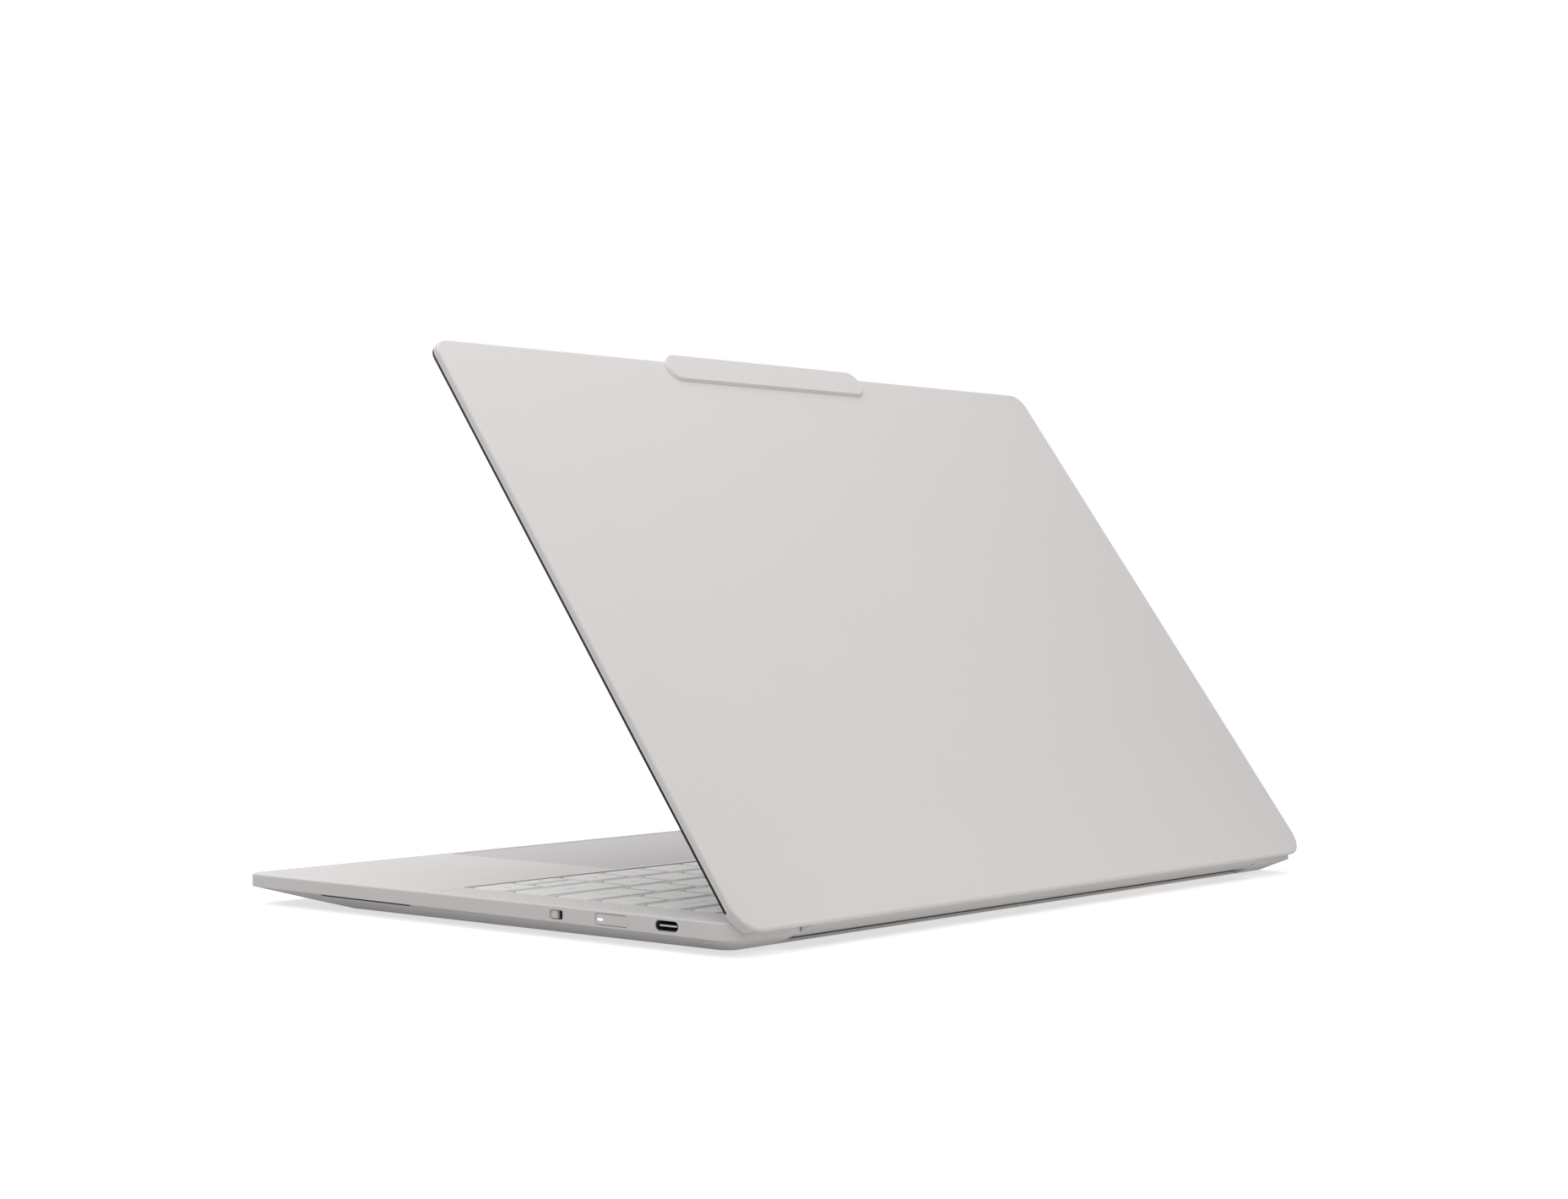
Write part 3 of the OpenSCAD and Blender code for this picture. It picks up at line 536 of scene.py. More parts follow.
class Bench:
    """Modelling steps, each on one object at a time."""

    @staticmethod
    def clear() -> None:
        """Leave edit mode and deselect everything."""
        if bpy.context.mode != "OBJECT":
            bpy.ops.object.mode_set(mode="OBJECT")
        bpy.ops.object.select_all(action="DESELECT")

    @staticmethod
    def take(obj: Thing) -> Thing:
        """Make obj the active object and the only selected one.

        Args:
            obj: The object.

        Returns:
            The object.
        """
        Bench.clear()
        obj.select_set(True)
        bpy.context.view_layer.objects.active = obj
        return obj

    @staticmethod
    @contextmanager
    def editing(obj: Thing, select: str = "FACE") -> Iterator[None]:
        """Edit mode on obj with nothing selected, and object mode after it.

        Args:
            obj: The object.
            select: What is selected: VERT, EDGE or FACE.

        Yields:
            Nothing.
        """
        Bench.take(obj)
        bpy.ops.object.mode_set(mode="EDIT")
        bpy.ops.mesh.select_mode(type=select)
        bpy.ops.mesh.select_all(action="DESELECT")
        yield
        bpy.ops.object.mode_set(mode="OBJECT")

    @staticmethod
    def pick_faces(obj: Thing, test: Callable[[Vector, Vector], bool]) -> None:
        """Select the faces whose middle and normal pass the test, and no others.

        Args:
            obj: The object, in edit mode.
            test: Takes a face's middle and its normal.
        """
        mesh = bmesh.from_edit_mesh(obj.data)
        for face in mesh.faces:
            face.select_set(test(face.calc_center_median(), face.normal))
        mesh.select_flush_mode()
        bmesh.update_edit_mesh(obj.data)

    @staticmethod
    def pick_edges(obj: Thing, test: Callable[[bmesh.types.BMEdge], bool]) -> None:
        """Select the edges that pass the test, and no others.

        Args:
            obj: The object, in edit mode with nothing selected.
            test: Takes an edge.
        """
        mesh = bmesh.from_edit_mesh(obj.data)
        chosen = [edge for edge in mesh.edges if test(edge)]
        for edge in chosen:
            edge.select_set(True)
        bmesh.update_edit_mesh(obj.data)

    @staticmethod
    def named(obj: Thing, name: str) -> Thing:
        """Name an object and its mesh."""
        obj.name = obj.data.name = name
        return obj

    @staticmethod
    def settle(obj: Thing) -> Thing:
        """Put an object's place into its mesh.

        Args:
            obj: The object.

        Returns:
            The object.
        """
        Bench.take(obj)
        bpy.ops.object.transform_apply(location=True, rotation=True, scale=True)
        return obj

    @staticmethod
    def block(name: str, low: Sequence[float], high: Sequence[float]) -> Thing:
        """Add a cube between two corners.

        Args:
            name: The object's name.
            low: The lowest corner.
            high: The highest corner.

        Returns:
            The cube.
        """
        Bench.clear()
        low, high = Vector(low), Vector(high)
        bpy.ops.mesh.primitive_cube_add(size=1, location=(low + high) / 2)
        obj = Bench.named(bpy.context.active_object, name)
        obj.scale = high - low
        return Bench.settle(obj)

    @staticmethod
    def round_edges(
        obj: Thing, test: Callable[[bmesh.types.BMEdge], bool], radius: float, segments: int = 3
    ) -> None:
        """Round the edges that pass the test.

        Args:
            obj: The object.
            test: Takes an edge.
            radius: How far the rounding reaches.
            segments: How many faces go round.
        """
        with Bench.editing(obj, "EDGE"):
            Bench.pick_edges(obj, test)
            bpy.ops.mesh.bevel(
                offset=radius, segments=segments, affect="EDGES", clamp_overlap=True
            )

    @staticmethod
    def smooth(obj: Thing, degrees: float = 32.0) -> Thing:
        """Shade smooth across edges flatter than the angle, and keep large faces flat.

        Args:
            obj: The object.
            degrees: The angle.

        Returns:
            The object.
        """
        Bench.take(obj)
        bpy.ops.object.shade_smooth_by_angle(angle=math.radians(degrees))
        Bench.apply(obj, "WEIGHTED_NORMAL", mode="FACE_AREA", weight=100, keep_sharp=True)
        return obj

    @staticmethod
    def merged_copy(node: str, name: str) -> Thing:
        """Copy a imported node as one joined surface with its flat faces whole.

        Args:
            node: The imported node.
            name: The copy's name.

        Returns:
            The copy, with no finish and no body yet.
        """
        source = frame["nodes"][node]
        obj = source.copy()
        obj.data = source.data.copy()
        obj.parent = None
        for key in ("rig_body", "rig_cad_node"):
            del obj[key]
        bpy.context.scene.collection.objects.link(obj)
        Bench.take(Bench.named(obj, name))
        obj.data.materials.clear()
        bpy.ops.mesh.customdata_custom_splitnormals_clear()
        with Bench.editing(obj, "VERT"):
            bpy.ops.mesh.select_all(action="SELECT")
            bpy.ops.mesh.remove_doubles(threshold=SAME_PLACE)
            bpy.ops.mesh.dissolve_limited(
                angle_limit=math.radians(FLAT_BEND), use_dissolve_boundaries=False
            )
        return obj

    @staticmethod
    def apply(obj: Thing, kind: str, **settings: Any) -> None:
        """Add a modifier, set it and apply it.

        Args:
            obj: The object.
            kind: The modifier's type.
            settings: The modifier's own settings.
        """
        Bench.take(obj)
        added = obj.modifiers.new(kind.lower(), kind)
        for name, value in settings.items():
            setattr(added, name, value)
        bpy.ops.object.modifier_apply(modifier=added.name)

    @staticmethod
    def join(first: Thing, others: Sequence[Thing]) -> Thing:
        """Join other objects into the first.

        Args:
            first: The object that stays.
            others: The objects that go into it.

        Returns:
            The first object.
        """
        Bench.take(first)
        for other in others:
            other.select_set(True)
        bpy.ops.object.join()
        return first

    @staticmethod
    def islands(node: str) -> list[tuple[Vector, Vector]]:
        """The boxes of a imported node's separate solids, from left to right.

        Args:
            node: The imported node.

        Returns:
            Each solid's lowest and highest corner.
        """
        Bench.merged_copy(node, "loose_" + node)
        with Bench.editing(bpy.context.active_object):
            bpy.ops.mesh.select_all(action="SELECT")
            bpy.ops.mesh.separate(type="LOOSE")
        boxes = []
        for part in list(bpy.context.selected_objects):
            corners = [vertex.co for vertex in part.data.vertices]
            low = Vector([min(corner[i] for corner in corners) for i in range(3)])
            high = Vector([max(corner[i] for corner in corners) for i in range(3)])
            boxes.append((low, high))
            bpy.data.objects.remove(part)
        return sorted(boxes, key=lambda box: box[0].x)

    @staticmethod
    def fit(obj: Thing, body: str, finish: Finish, *nodes: str) -> Thing:
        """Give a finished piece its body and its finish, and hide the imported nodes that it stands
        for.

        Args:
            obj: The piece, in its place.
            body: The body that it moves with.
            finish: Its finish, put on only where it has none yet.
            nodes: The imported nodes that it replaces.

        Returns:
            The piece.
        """
        if not obj.data.materials or obj.data.materials[0] is None:
            finish.dress(obj)
        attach(obj, body)
        if nodes:
            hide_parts(*nodes)
        log.info("%s: %d faces, %s", obj.name, len(obj.data.polygons), finish.name)
        return obj


def dress_nodes(finish: Finish, *nodes: str) -> None:
    """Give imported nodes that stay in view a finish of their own.

    Args:
        finish: The finish.
        nodes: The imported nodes.
    """
    for name in nodes:
        finish.dress(frame["nodes"][name])
        log.info("%s: %s", name, finish.name)


def along(edge: bmesh.types.BMEdge) -> Vector:
    """An edge's direction, of length 1."""
    return (edge.verts[1].co - edge.verts[0].co).normalized()


def bend(edge: bmesh.types.BMEdge) -> float:
    """The angle in degrees between an edge's two faces, or 0."""
    return math.degrees(edge.calc_face_angle(0.0)) if len(edge.link_faces) == 2 else 0.0


# ---------------------------------------------------------------- base


@dataclass
class BaseCovers:
    """The deck, the bottom cover, the feet and the screws."""

    edge_round: float = 0.7 * MM
    side_x: float = 155 * MM
    foot_round: float = 0.5 * MM
    lip_round: float = 0.65 * MM
    lip_y: float = 97 * MM
    slot_low: tuple[float, float, float] = (150 * MM, -71.3 * MM, 4.9 * MM)
    slot_high: tuple[float, float, float] = (156 * MM, -28.2 * MM, 5.9 * MM)

    def build(self) -> None:
        """Make every cover piece."""
        self.deck()
        self.bottom()
        for name in ("front_foot_strip", "rear_foot_strip"):
            self.foot(name)
        dress_nodes(STEEL, "bottom_screws")

    def deck(self) -> None:
        """The deck with its walls, its outer edge softly rounded."""
        obj = Bench.merged_copy("deck_cover", "deck_shell")
        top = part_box("deck_cover")[1].z

        def outer(edge: bmesh.types.BMEdge) -> bool:
            """An edge of the top face that lies on the outline.

            Args:
                edge: Any edge of the deck.

            Returns:
                Whether it is one of them.
            """
            if bend(edge) < 60 or any(abs(v.co.z - top) > HAIR for v in edge.verts):
                return False
            wall = min((face.normal for face in edge.link_faces), key=lambda n: abs(n.z))
            middle = (edge.verts[0].co + edge.verts[1].co) / 2
            flat = Vector((middle.x, middle.y, 0))
            return wall.dot(flat) > 0.1 or abs(middle.x) > self.side_x

        Bench.round_edges(obj, outer, self.edge_round, 4)
        Bench.fit(Bench.smooth(obj), "base", SHELL, "deck_cover")

    def bottom(self) -> None:
        """The bottom cover, black inside its side sound slots."""
        obj = Bench.merged_copy("bottom_cover", "bottom_shell")
        Bench.round_edges(obj, self.rear_lip, self.lip_round, 4)
        SHELL.dress(obj)
        obj.data.materials.append(BLACK_PLASTIC.material())
        with Bench.editing(obj):
            Bench.pick_faces(obj, self.in_slot)
            obj.active_material_index = 1
            bpy.ops.object.material_slot_assign()
        Bench.fit(Bench.smooth(obj, 20), "base", SHELL, "bottom_cover")

    def rear_lip(self, edge: bmesh.types.BMEdge) -> bool:
        """Whether an edge is the sharp upper one of the lip under the hinge."""
        behind = all(v.co.y > self.lip_y for v in edge.verts)
        return behind and abs(along(edge).x) > LEVEL and bend(edge) > 100

    def in_slot(self, middle: Vector, normal: Vector) -> bool:
        """Whether a face is one of the small ones inside a side sound slot."""
        place = (abs(middle.x), middle.y, middle.z)
        return all(a < b < c for a, b, c in zip(self.slot_low, place, self.slot_high))

    def foot(self, node: str) -> None:
        """A rubber strip with rounded ends and edges.

        Args:
            node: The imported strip.
        """
        low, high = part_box(node)
        obj = Bench.block(node.replace("strip", "rubber"), low, high)
        half = (high.y - low.y) / 2
        Bench.round_edges(obj, lambda edge: abs(along(edge).z) > NEARLY, half * 0.98, 8)
        Bench.round_edges(
            obj, lambda edge: all(v.co.z < low.z + HAIR for v in edge.verts), self.foot_round
        )
        Bench.fit(Bench.smooth(obj), "base", RUBBER, node)


@dataclass
class SpeakerGrille:
    """A strip of round holes over a speaker."""

    side: Side
    pitch: float = 1.0 * MM
    hole: float = 0.18 * MM
    margin: float = 0.8 * MM
    wall: float = 0.5 * MM
    thickness: float = 0.6 * MM

    def build(self) -> None:
        """Make the strip, its holes and the speaker's finish."""
        node = "speaker_grille_" + self.side.name.lower()
        low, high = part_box(node)
        obj = self.tile(low, high)
        for count, offset in zip(self.counts(low, high), ((1, 0, 0), (0, 1, 0))):
            Bench.apply(
                obj,
                "ARRAY",
                count=count,
                relative_offset_displace=offset,
                use_merge_vertices=True,
                merge_threshold=HAIR,
            )
        self.border(obj, low, high)
        Bench.fit(Bench.named(obj, node.replace("grille", "holes")), "base", SHELL, node)
        dress_nodes(BLACK_PLASTIC, "speaker_" + self.side.name.lower())

    def counts(self, low: Vector, high: Vector) -> tuple[int, int]:
        """How many holes fit along X and along Y."""
        return tuple(round((b - a - 2 * self.margin) / self.pitch) for a, b in zip(low[:2], high[:2]))

    def tile(self, low: Vector, high: Vector) -> Thing:
        """Make one square of the strip with its hole.

        Args:
            low: The strip's lowest corner.
            high: Its highest corner.

        Returns:
            The square, at the strip's corner, with a short black wall under its hole.
        """
        columns, rows = self.counts(low, high)
        x0 = (low.x + high.x - columns * self.pitch) / 2
        y0 = (low.y + high.y - rows * self.pitch) / 2
        Bench.clear()
        place = (x0 + self.pitch / 2, y0 + self.pitch / 2, high.z)
        bpy.ops.mesh.primitive_plane_add(size=self.pitch, location=place)
        obj = Bench.settle(Bench.named(bpy.context.active_object, "holes"))
        SHELL.dress(obj)
        obj.data.materials.append(BLACK_PLASTIC.material())
        with Bench.editing(obj, "VERT"):
            bpy.ops.mesh.select_all(action="SELECT")
            bpy.ops.mesh.subdivide(number_cuts=1)
            mesh = bmesh.from_edit_mesh(obj.data)
            centre = Vector(place)
            for vertex in mesh.verts:
                vertex.select_set((vertex.co - centre).length < 0.1 * self.pitch)
            mesh.select_flush_mode()
            bmesh.update_edit_mesh(obj.data)
            bpy.ops.mesh.bevel(offset=self.hole, segments=2, affect="VERTICES", profile=0.5)
            bpy.ops.mesh.select_mode(type="FACE")
            Bench.pick_faces(obj, lambda middle, normal: (middle - centre).length < self.hole)
            bpy.ops.mesh.extrude_region_move(TRANSFORM_OT_translate={"value": (0, 0, -self.wall)})
            bpy.ops.mesh.delete(type="FACE")
            Bench.pick_faces(obj, lambda middle, normal: abs(normal.z) < 0.5)
            obj.active_material_index = 1
            bpy.ops.object.material_slot_assign()
        return obj

    def border(self, obj: Thing, low: Vector, high: Vector) -> None:
        """Add a plain frame from the holes out to the strip's edge.

        Args:
            obj: The holes.
            low: The strip's lowest corner.
            high: Its highest corner.
        """
        with Bench.editing(obj, "EDGE"):
            top = high.z - HAIR
            Bench.pick_edges(
                obj,
                lambda edge: len(edge.link_faces) == 1 and all(v.co.z > top for v in edge.verts),
            )
            bpy.ops.mesh.extrude_region_move()
            middle = (low + high) / 2
            mesh = bmesh.from_edit_mesh(obj.data)
            chosen = [v for v in mesh.verts if v.select]
            reach_x = max(abs(v.co.x - middle.x) for v in chosen)
            reach_y = max(abs(v.co.y - middle.y) for v in chosen)
            scale = ((high.x - low.x) / 2 / reach_x, (high.y - low.y) / 2 / reach_y, 1)
            bpy.ops.transform.resize(value=scale, center_override=middle)
            bpy.ops.mesh.extrude_region_move(TRANSFORM_OT_translate={"value": (0, 0, -self.thickness)})


# ---------------------------------------------------------------- keyboard


@dataclass
class Keyboard:
    """Keycaps with their legends, in their frame."""

    corner: float = 1.6 * MM
    steps: int = 4
    edge: float = 0.35 * MM
    side_drop: float = 0.28 * MM
    end_drop: float = 0.55 * MM
    rim: float = 0.9 * MM
    dish: float = 0.03 * MM
    plate_rise: float = 0.24 * MM
    letter: float = 4.4 * MM
    word: float = 2.5 * MM
    labels: dict[str, list[str]] = field(
        default_factory=lambda: {
            "function_keys": [f"F{i}" for i in range(1, 13)] + ["prt", "del"],
            "number_keys": list("`1234567890-="),
            "upper_letter_keys": list("QWERTYUIOP[]\\"),
            "home_letter_keys": list("ASDFGHJKL;'"),
            "lower_letter_keys": list("ZXCVBNM,./"),
            "modifier_keys": ["ctrl", "fn", "opt", "alt", "alt", "ctrl"],
            "escape_key": ["esc"],
            "backspace_key": ["backspace"],
            "tab_key": ["tab"],
            "caps_lock_key": ["caps lock"],
            "enter_key": ["enter"],
            "left_shift_key": ["shift"],
            "right_shift_key": ["shift"],
            "space_key": [""],
            "left_arrow_key": ["<"],
            "right_arrow_key": [">"],
            "up_arrow_key": ["^"],
            "down_arrow_key": ["v"],
        }
    )

    def build(self) -> None:
        """Make every keycap, and dress the plates under them."""
        for node, labels in self.labels.items():
            self.row(node, labels)
        plate = Bench.merged_copy("keyboard_frame", "keyboard_plate")
        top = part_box("keyboard_frame")[1].z - HAIR
        with Bench.editing(plate):
            Bench.pick_faces(plate, lambda middle, normal: middle.z > top and normal.z > NEARLY)
            bpy.ops.transform.translate(value=(0, 0, self.plate_rise))
        Bench.fit(Bench.smooth(plate), "base", KEYBOARD_PLATE, "keyboard_frame")
        dress_nodes(STEEL, "keyboard_backplate")
        dress_nodes(RUBBER, "key_domes")

    def row(self, node: str, labels: list[str]) -> None:
        """The keycaps of one node, joined as they move together.

        Args:
            node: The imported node.
            labels: What its caps say, from left to right.
        """
        caps = []
        for (low, high), label in zip(Bench.islands(node), labels):
            cap = self.cap(low, high)
            if label:
                Bench.join(cap, [self.legend(label, low, high)])
            caps.append(cap)
        obj = Bench.join(caps[0], caps[1:])
        Bench.fit(Bench.named(obj, node.replace("key", "cap")), node + "_body", KEYCAP_PAINTED_LIGHT, node)

    def cap(self, low: Vector, high: Vector) -> Thing:
        """One keycap: a shallow dish, crisp at its sides and rolled over at its front and back.

        Args:
            low: Its lowest corner.
            high: Its highest corner.

        Returns:
            The cap.
        """
        obj = Bench.block("cap", low, high)
        corner = min(self.corner, (high.y - low.y) * 0.3)
        Bench.round_edges(obj, lambda edge: abs(along(edge).z) > NEARLY, corner, self.steps)
        centre = (low + high) / 2
        half = (high.y - low.y) / 2
        with Bench.editing(obj):
            Bench.pick_faces(obj, lambda middle, normal: normal.z > NEARLY)
            bpy.ops.mesh.inset(thickness=self.edge)
            pull = 1 - self.end_drop / half
            bpy.ops.transform.resize(value=(1, pull, 1), center_override=centre)
            bpy.ops.mesh.inset(thickness=self.rim)
            bpy.ops.transform.translate(value=(0, 0, -self.dish))
        self.roll_over(obj, centre, half - corner, corner)
        KEYCAP_PAINTED_LIGHT.dress(obj)
        return Bench.smooth(obj, 60)

    def roll_over(self, obj: Thing, centre: Vector, straight: float, corner: float) -> None:
        """Lower the cap's outline, least along its sides and most at its front and back.

        Args:
            obj: The cap.
            centre: Its middle.
            straight: Half the length of its straight sides.
            corner: The radius of its corners.
        """
        for step in range(self.steps + 1):
            share = math.sin(math.radians(90 * step / self.steps))
            with Bench.editing(obj, "VERT"):
                mesh = bmesh.from_edit_mesh(obj.data)
                for vertex in mesh.verts:
                    reach = (abs(vertex.co.y - centre.y) - straight) / corner
                    outline = any(abs(along(edge).z) > NEARLY for edge in vertex.link_edges)
                    upper = vertex.co.z > centre.z
                    vertex.select_set(outline and upper and abs(max(reach, 0) - share) < 0.02)
                mesh.select_flush_mode()
                bmesh.update_edit_mesh(obj.data)
                drop = self.side_drop + (self.end_drop - self.side_drop) * share**2
                bpy.ops.transform.translate(value=(0, 0, -drop))

    def legend(self, label: str, low: Vector, high: Vector) -> Thing:
        """A printed label, lying on the cap's dish.

        Args:
            label: Its text.
            low: The cap's lowest corner.
            high: The cap's highest corner.

        Returns:
            The label as a mesh.
        """
        size = self.letter if len(label) == 1 else self.word
        Bench.clear()
        place = ((low.x + high.x) / 2, (low.y + high.y) / 2, high.z - self.dish + HAIR)
        bpy.ops.object.text_add(location=place)
        text = bpy.context.active_object
        text.data.body = label
        text.data.size = min(size, (high.y - low.y) * 0.5)
        text.data.align_x, text.data.align_y = "CENTER", "CENTER"
        text.data.resolution_u = 3
        bpy.ops.object.convert(target="MESH")
        Bench.settle(text)
        LEGEND.dress(text)
        return text


@dataclass
class Touchpad:
    """The touchpad and its bracket."""

    corner: float = 2.0 * MM
    edge: float = 0.15 * MM

    def build(self) -> None:
        """A glass plate with round corners and a fine edge."""
        low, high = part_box("touchpad")
        obj = Bench.block("touchpad_plate_glass", low, high)
        Bench.round_edges(obj, lambda edge: abs(along(edge).z) > NEARLY, self.corner, 6)
        top = high.z - HAIR
        Bench.round_edges(obj, lambda edge: all(v.co.z > top for v in edge.verts), self.edge, 2)
        Bench.fit(Bench.smooth(obj), "touchpad_plate", PAD_GLASS_PAINTED_SHADE, "touchpad")
        dress_nodes(STEEL, "touchpad_bracket")


# ---------------------------------------------------------------- controls and sockets


@dataclass
class SideControls:
    """The power button with its light, and the camera shutter switch."""

    corner: float = 0.98 * MM
    edge: float = 0.12 * MM
    nub_round: float = 0.25 * MM
    nub_grow: float = 0.1 * MM

    def build(self) -> None:
        """Make the button, its light and the switch."""
        self.button()
        self.shutter()
        dress_nodes(WHITE_LENS, "power_light")
        dress_nodes(BLACK_PLASTIC, "side_switch_board")

    def button(self) -> None:
        """The power button, flush in the wall."""
        low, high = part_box("power_button")
        obj = Bench.block("power_button_cap", low, high)
        Bench.round_edges(obj, lambda edge: abs(along(edge).x) > NEARLY, self.corner, 6)
        face = high.x - HAIR
        Bench.round_edges(obj, lambda edge: all(v.co.x > face for v in edge.verts), self.edge)
        Bench.fit(Bench.smooth(obj), "power_key", SHELL, "power_button")

    def shutter(self) -> None:
        """The switch's nub, a little larger than its solid and rounded all over."""
        low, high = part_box("shutter_slider")
        grow = Vector((0, self.nub_grow, self.nub_grow))
        obj = Bench.block("shutter_nub", low - grow, high + grow)
        with Bench.editing(obj, "EDGE"):
            bpy.ops.mesh.select_all(action="SELECT")
            bpy.ops.mesh.bevel(offset=self.nub_round, segments=4, affect="EDGES")
        Bench.fit(Bench.smooth(obj), "shutter", SHELL, "shutter_slider")


@dataclass
class Socket:
    """A reversible socket in a side wall: steel shell, black inside and a tongue."""

    side: Side
    name: str
    low: Vector
    high: Vector
    wall: float = 0.12 * MM
    depth: float = 6.4 * MM
    tongue: tuple[float, float] = (6.9 * MM, 0.5 * MM)
    tongue_back: float = 0.6 * MM
    tongue_round: float = 0.3 * MM

    def build(self) -> Thing:
        """Make the shell and its tongue as one piece.

        Returns:
            The piece.
        """
        sign = self.side.value
        obj = Bench.block(self.name, self.low, self.high)
        radius = (self.high.z - self.low.z) / 2 * 0.99
        Bench.round_edges(obj, lambda edge: abs(along(edge).x) > NEARLY, radius, 8)
        STEEL.dress(obj)
        obj.data.materials.append(BLACK_PLASTIC.material())
        with Bench.editing(obj):
            Bench.pick_faces(obj, lambda middle, normal: normal.x * sign > LEVEL)
            bpy.ops.mesh.inset(thickness=self.wall)
            obj.active_material_index = 1
            bpy.ops.object.material_slot_assign()
            bpy.ops.mesh.extrude_region_move(
                TRANSFORM_OT_translate={"value": (-sign * self.depth, 0, 0)}
            )
            bpy.ops.object.material_slot_assign()
        return Bench.join(obj, [self.tongue_plate()])

    def tongue_plate(self) -> Thing:
        """The tongue, with its contacts' bright front edge.

        Returns:
            The tongue.
        """
        sign = self.side.value
        mouth = self.high.x if sign > 0 else self.low.x
        middle = (self.low + self.high) / 2
        half_y, half_z = self.tongue[0] / 2, self.tongue[1] / 2
        ends = sorted((mouth - sign * self.depth, mouth - sign * self.tongue_back))
        obj = Bench.block(
            "tongue",
            (ends[0], middle.y - half_y, middle.z - half_z),
            (ends[1], middle.y + half_y, middle.z + half_z),
        )
        BLACK_PLASTIC.dress(obj)
        obj.data.materials.append(STEEL.material())
        Bench.round_edges(obj, lambda edge: abs(along(edge).x) > NEARLY, self.tongue_round, 3)
        with Bench.editing(obj):
            Bench.pick_faces(obj, lambda middle, normal: normal.x * sign > LEVEL)
            obj.active_material_index = 1
            bpy.ops.object.material_slot_assign()
        return obj


@dataclass
class Sockets:
    """All sockets of both sides."""

    least_width: float = 8 * MM

    def build(self) -> None:
        """One socket in the right wall and two in the left."""
        for node, side in (("usb_c_port_right", Side.RIGHT), ("usb_c_ports_left", Side.LEFT)):
            shells = [box for box in Bench.islands(node) if box[1].y - box[0].y > self.least_width]
            made = [Socket(side, "socket", low, high).build() for low, high in shells]
            obj = Bench.join(made[0], made[1:])
            name = "sockets_" + side.name.lower()
            Bench.fit(Bench.smooth(Bench.named(obj, name)), "base", STEEL, node)


@dataclass
class Inside:
    """Boards, cooling, battery and cards, which stay as packed."""

    finishes: dict[str, Finish] = field(
        default_factory=lambda: {
            "motherboard": BOARD,
            "ssd_card": BOARD,
            "wireless_card": BOARD,
            "heat_spreader": COPPER,
            "heat_pipe": COPPER,
            "fin_stack": COPPER,
            "fan_housing": BLACK_PLASTIC,
            "fan_rotor": BLACK_PLASTIC,
            "battery_pack": BLACK_PLASTIC,
        }
    )

    def build(self) -> None:
        """Dress each of them."""
        for node, finish in self.finishes.items():
            dress_nodes(finish, node)


# ---------------------------------------------------------------- lid and hinges


@dataclass
class Hinges:
    """Brackets, pins and arms, and the cover over them with its two rear corners cut off."""

    corner_y: float = 106.4 * MM

    def build(self) -> None:
        """Dress the metal parts and make the cover."""
        for side in Side:
            for part in ("bracket", "pin", "arm"):
                dress_nodes(STEEL, f"hinge_{part}_{side.name.lower()}")
        obj = Bench.merged_copy("hinge_cover", "hinge_barrel")
        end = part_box("hinge_cover")[1].x
        for side in (-1, 1):
            with Bench.editing(obj):
                bpy.ops.mesh.select_all(action="SELECT")
                bpy.ops.mesh.bisect(
                    plane_co=(side * end, self.corner_y, 0),
                    plane_no=(side, 1, 0),
                    use_fill=True,
                    clear_outer=True,
                )
        Bench.fit(Bench.smooth(obj), "lid", HINGE_PLASTIC_PAINTED_LIGHT, "hinge_cover")


@dataclass
class Lid:
    """The lid's cover, its camera bar, its glass and what is behind it."""

    bar_round: float = 0.3 * MM
    bar_area: float = 500 * MM * MM
    border: float = 3.2 * MM
    chin: float = 5.0 * MM

    def build(self) -> None:
        """Make every piece of the lid."""
        cover = Bench.merged_copy("lid_cover", "lid_shell")
        Bench.fit(Bench.smooth(cover), "lid", SHELL, "lid_cover")
        bar = Bench.merged_copy("camera_bar", "camera_bar_shell")

        def rim(edge: bmesh.types.BMEdge) -> bool:
            """An edge of the bar's broad outer face."""
            return any(f.normal.z > 0 and f.calc_area() > self.bar_area for f in edge.link_faces)

        Bench.round_edges(bar, rim, self.bar_round, 3)
        Bench.fit(Bench.smooth(bar), "lid", SHELL, "camera_bar")
        self.glass()
        dress_nodes(PANEL, "display_panel")
        dress_nodes(BLACK_PLASTIC, "camera_module", "display_cable")

    def glass(self) -> None:
        """The glass: a dark border round the area that the panel shows through."""
        obj = Bench.merged_copy("cover_glass", "screen_plate")
        low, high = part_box("cover_glass")
        rise = Vector((0, low.y - high.y, high.z - low.z)).normalized()
        facing = rise.cross(Vector((1, 0, 0)))
        SCREEN_GLASS.dress(obj)
        obj.data.materials.append(SCREEN_PANEL.material())
        with Bench.editing(obj):
            Bench.pick_faces(
                obj, lambda middle, normal: abs(normal.dot(facing)) > LEVEL and normal.z < 0
            )
            bpy.ops.mesh.inset(thickness=self.border)
            obj.active_material_index = 1
            bpy.ops.object.material_slot_assign()
            lift = self.chin / (high.z - low.z)
            keep = Vector((0, low.y, high.z))
            bpy.ops.transform.resize(value=(1, 1 - lift, 1 - lift), center_override=keep)
        Bench.fit(Bench.smooth(obj), "lid", SCREEN_GLASS, "cover_glass")


# ---------------------------------------------------------------- studio


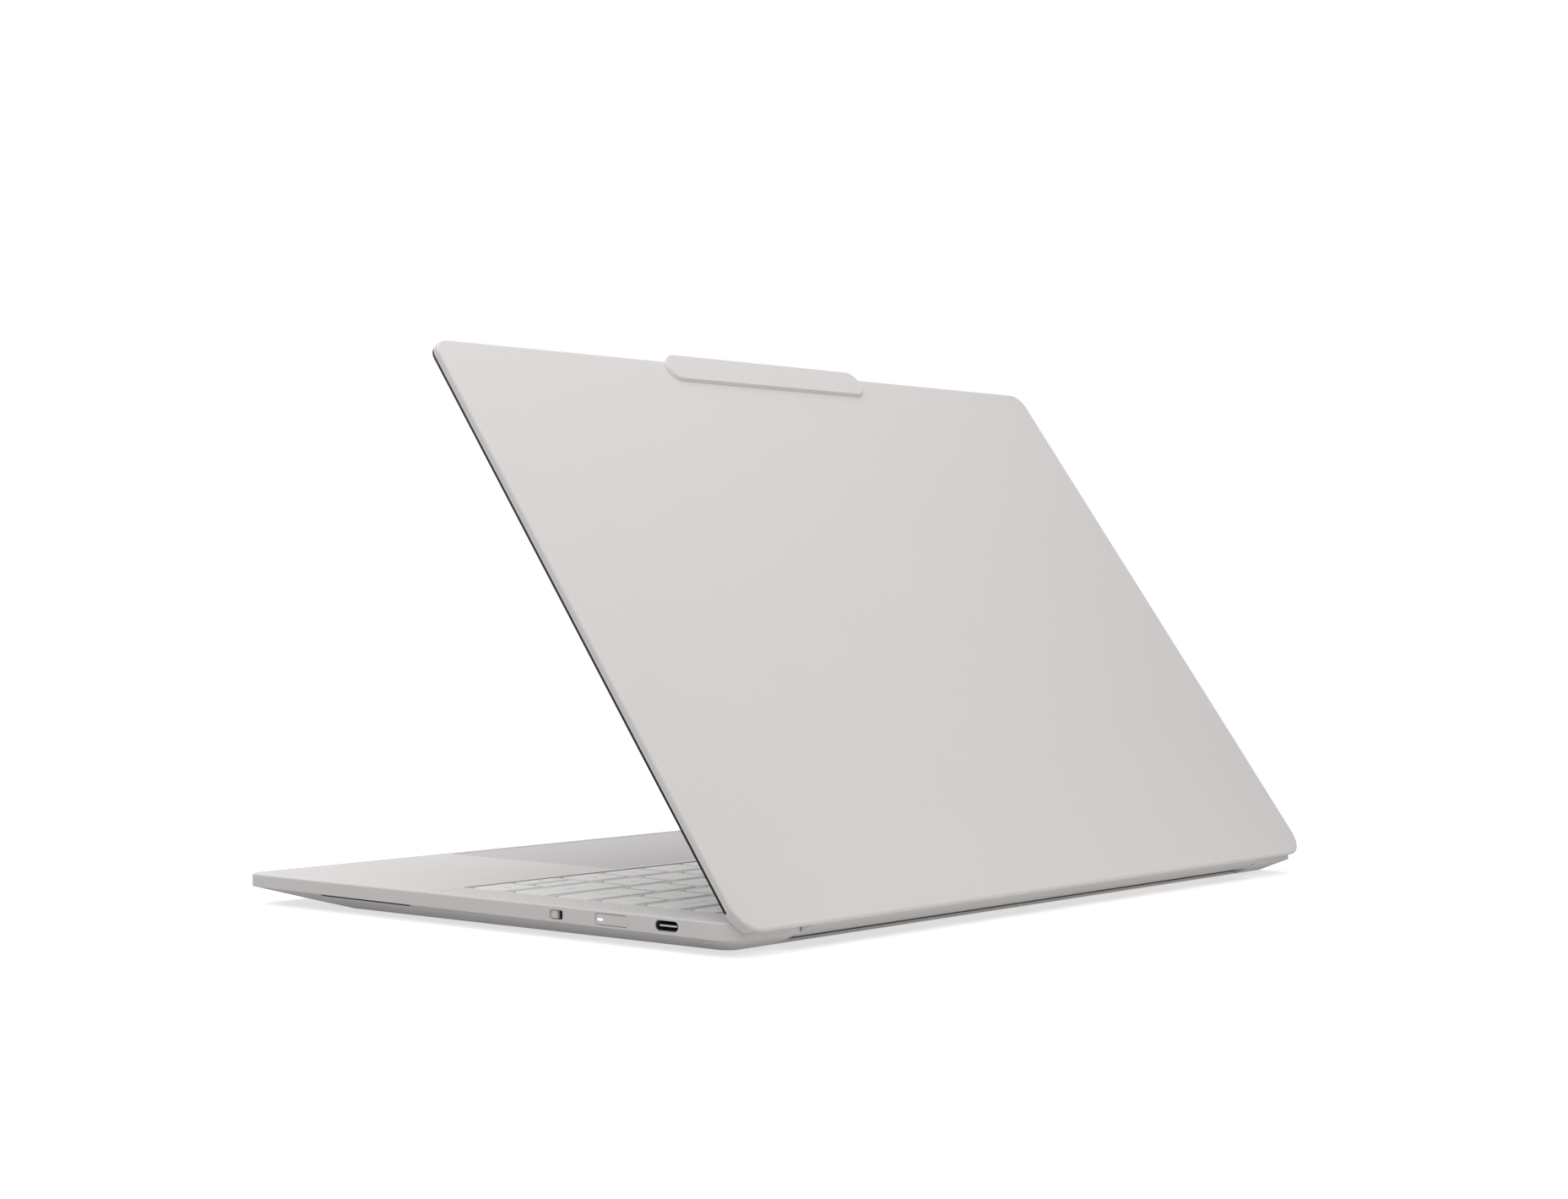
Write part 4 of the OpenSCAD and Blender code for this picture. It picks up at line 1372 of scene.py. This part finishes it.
@dataclass(frozen=True)
class Lamp:
    """A wide soft lamp that faces down unless it is turned."""

    name: str
    place: tuple[float, float, float]
    turn: tuple[float, float]
    size: float
    power: float

    def build(self) -> None:
        """Add the lamp, which the camera doesn't see."""
        lamp = bpy.data.objects.new(self.name, bpy.data.lights.new(self.name, "AREA"))
        bpy.context.scene.collection.objects.link(lamp)
        lamp.location = self.place
        lamp.rotation_euler = [math.radians(angle) for angle in self.turn + (0,)]
        lamp.data.size = self.size
        lamp.data.energy = self.power
        lamp.visible_camera = False


@dataclass
class Studio:
    """Floor, world, lamps and camera. The floor glows more behind the laptop than round it."""

    floor_size: float = 1.5
    floor_bounce: float = 0.56
    floor_mirrored: float = 0.9
    floor_seen: float = 1.9
    glow_share: float = 0.4
    glow: float = 0.44
    glow_behind: float = 1.8
    glow_away: tuple[float, float] = (0.095, 0.13)
    glow_across: tuple[float, float] = (0.030, 0.018)
    white_share: float = 0.58
    sky: float = 0.39
    lamps: tuple[Lamp, ...] = (
        Lamp("overhead_lamp", (0.33, -0.04, 0.62), (0, 0), 1.38, 7.3),
    )
    camera_place: tuple[float, float, float] = (0.709389, 0.595689, 0.101073)
    camera_heading: float = -139.607
    camera_tilt: float = -0.037
    camera_roll: float = -0.055
    camera_lens: float = 60.978
    sensor: float = 36.0

    def build(self) -> None:
        """Set up everything round the object."""
        bpy.context.scene.view_settings.view_transform = "Standard"
        self.floor()
        self.world()
        for lamp in self.lamps:
            lamp.build()
        self.camera()

    def floor(self) -> None:
        """A pale floor, a little bright of itself, that keeps the object's shadow."""
        Bench.clear()
        bpy.ops.mesh.primitive_plane_add(size=self.floor_size, location=(0, 0, 0))
        floor = Bench.named(bpy.context.active_object, "studio_floor")
        material = bpy.data.materials.new("studio_floor")
        material.use_nodes = True
        nodes = Nodes(material.node_tree)
        nodes.tree.nodes.remove(nodes.tree.nodes["Principled BSDF"])
        colour = nodes.background(self.floor_bounce, self.floor_mirrored, self.floor_seen)
        diffuse = nodes.node("ShaderNodeBsdfDiffuse", None, {"Color": colour})
        seen = nodes.signal(nodes.node("ShaderNodeLightPath").outputs["Is Camera Ray"])
        place = nodes.node("ShaderNodeTexCoord").outputs["Object"]
        parts = nodes.node("ShaderNodeSeparateXYZ", None, {"Vector": place})
        across, away = (nodes.signal(output) for output in parts.outputs[:2])
        behind = nodes.within(away, self.glow_away) * nodes.within(across * across, self.glow_across)
        glow = behind * (self.glow_behind - self.glow) + self.glow
        shine = nodes.mix(seen, glow, grey(1.0))
        bright = nodes.node("ShaderNodeEmission", None, {"Color": shine})
        share = seen * (self.white_share - self.glow_share) + self.glow_share
        both = {0: share, 1: diffuse.outputs[0], 2: bright.outputs[0]}
        surface = nodes.node("ShaderNodeMixShader", None, both)
        nodes.join(surface.outputs[0], nodes.tree.nodes["Material Output"].inputs["Surface"])
        floor.data.materials.append(material)

    def world(self) -> None:
        """An even pale sky, plain white where it is seen."""
        world = bpy.data.worlds.new("studio_sky")
        bpy.context.scene.world = world
        world.use_nodes = True
        nodes = Nodes(world.node_tree)
        colour = nodes.background(self.sky, 1.0, 1.0)
        nodes.join(colour, nodes.tree.nodes["Background"].inputs["Color"])

    def camera(self) -> None:
        """The camera, behind the laptop and to its right."""
        camera = bpy.data.objects.new("camera", bpy.data.cameras.new("camera"))
        bpy.context.scene.collection.objects.link(camera)
        camera.data.sensor_width = self.sensor
        camera.data.lens = self.camera_lens
        camera.data.clip_start = 0.01
        heading = math.radians(self.camera_heading - 90)
        tilt = math.radians(90 + self.camera_tilt)
        turn = Matrix.Rotation(heading, 4, "Z") @ Matrix.Rotation(tilt, 4, "X")
        roll = Matrix.Rotation(math.radians(self.camera_roll), 4, "Z")
        camera.matrix_world = Matrix.Translation(self.camera_place) @ turn @ roll
        bpy.context.scene.camera = camera


def corners(box: tuple[Vector, Vector]) -> list[list[float]]:
    """A box's two corners as plain lists."""
    return [list(corner) for corner in box]


def main() -> None:
    """Build the laptop and the studio round it."""
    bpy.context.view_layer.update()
    BaseCovers().build()
    for side in Side:
        SpeakerGrille(side).build()
    Keyboard().build()
    Touchpad().build()
    SideControls().build()
    Sockets().build()
    Inside().build()
    Hinges().build()
    Lid().build()
    Studio().build()
    Bench.clear()


if __name__ == "__main__":
    main()
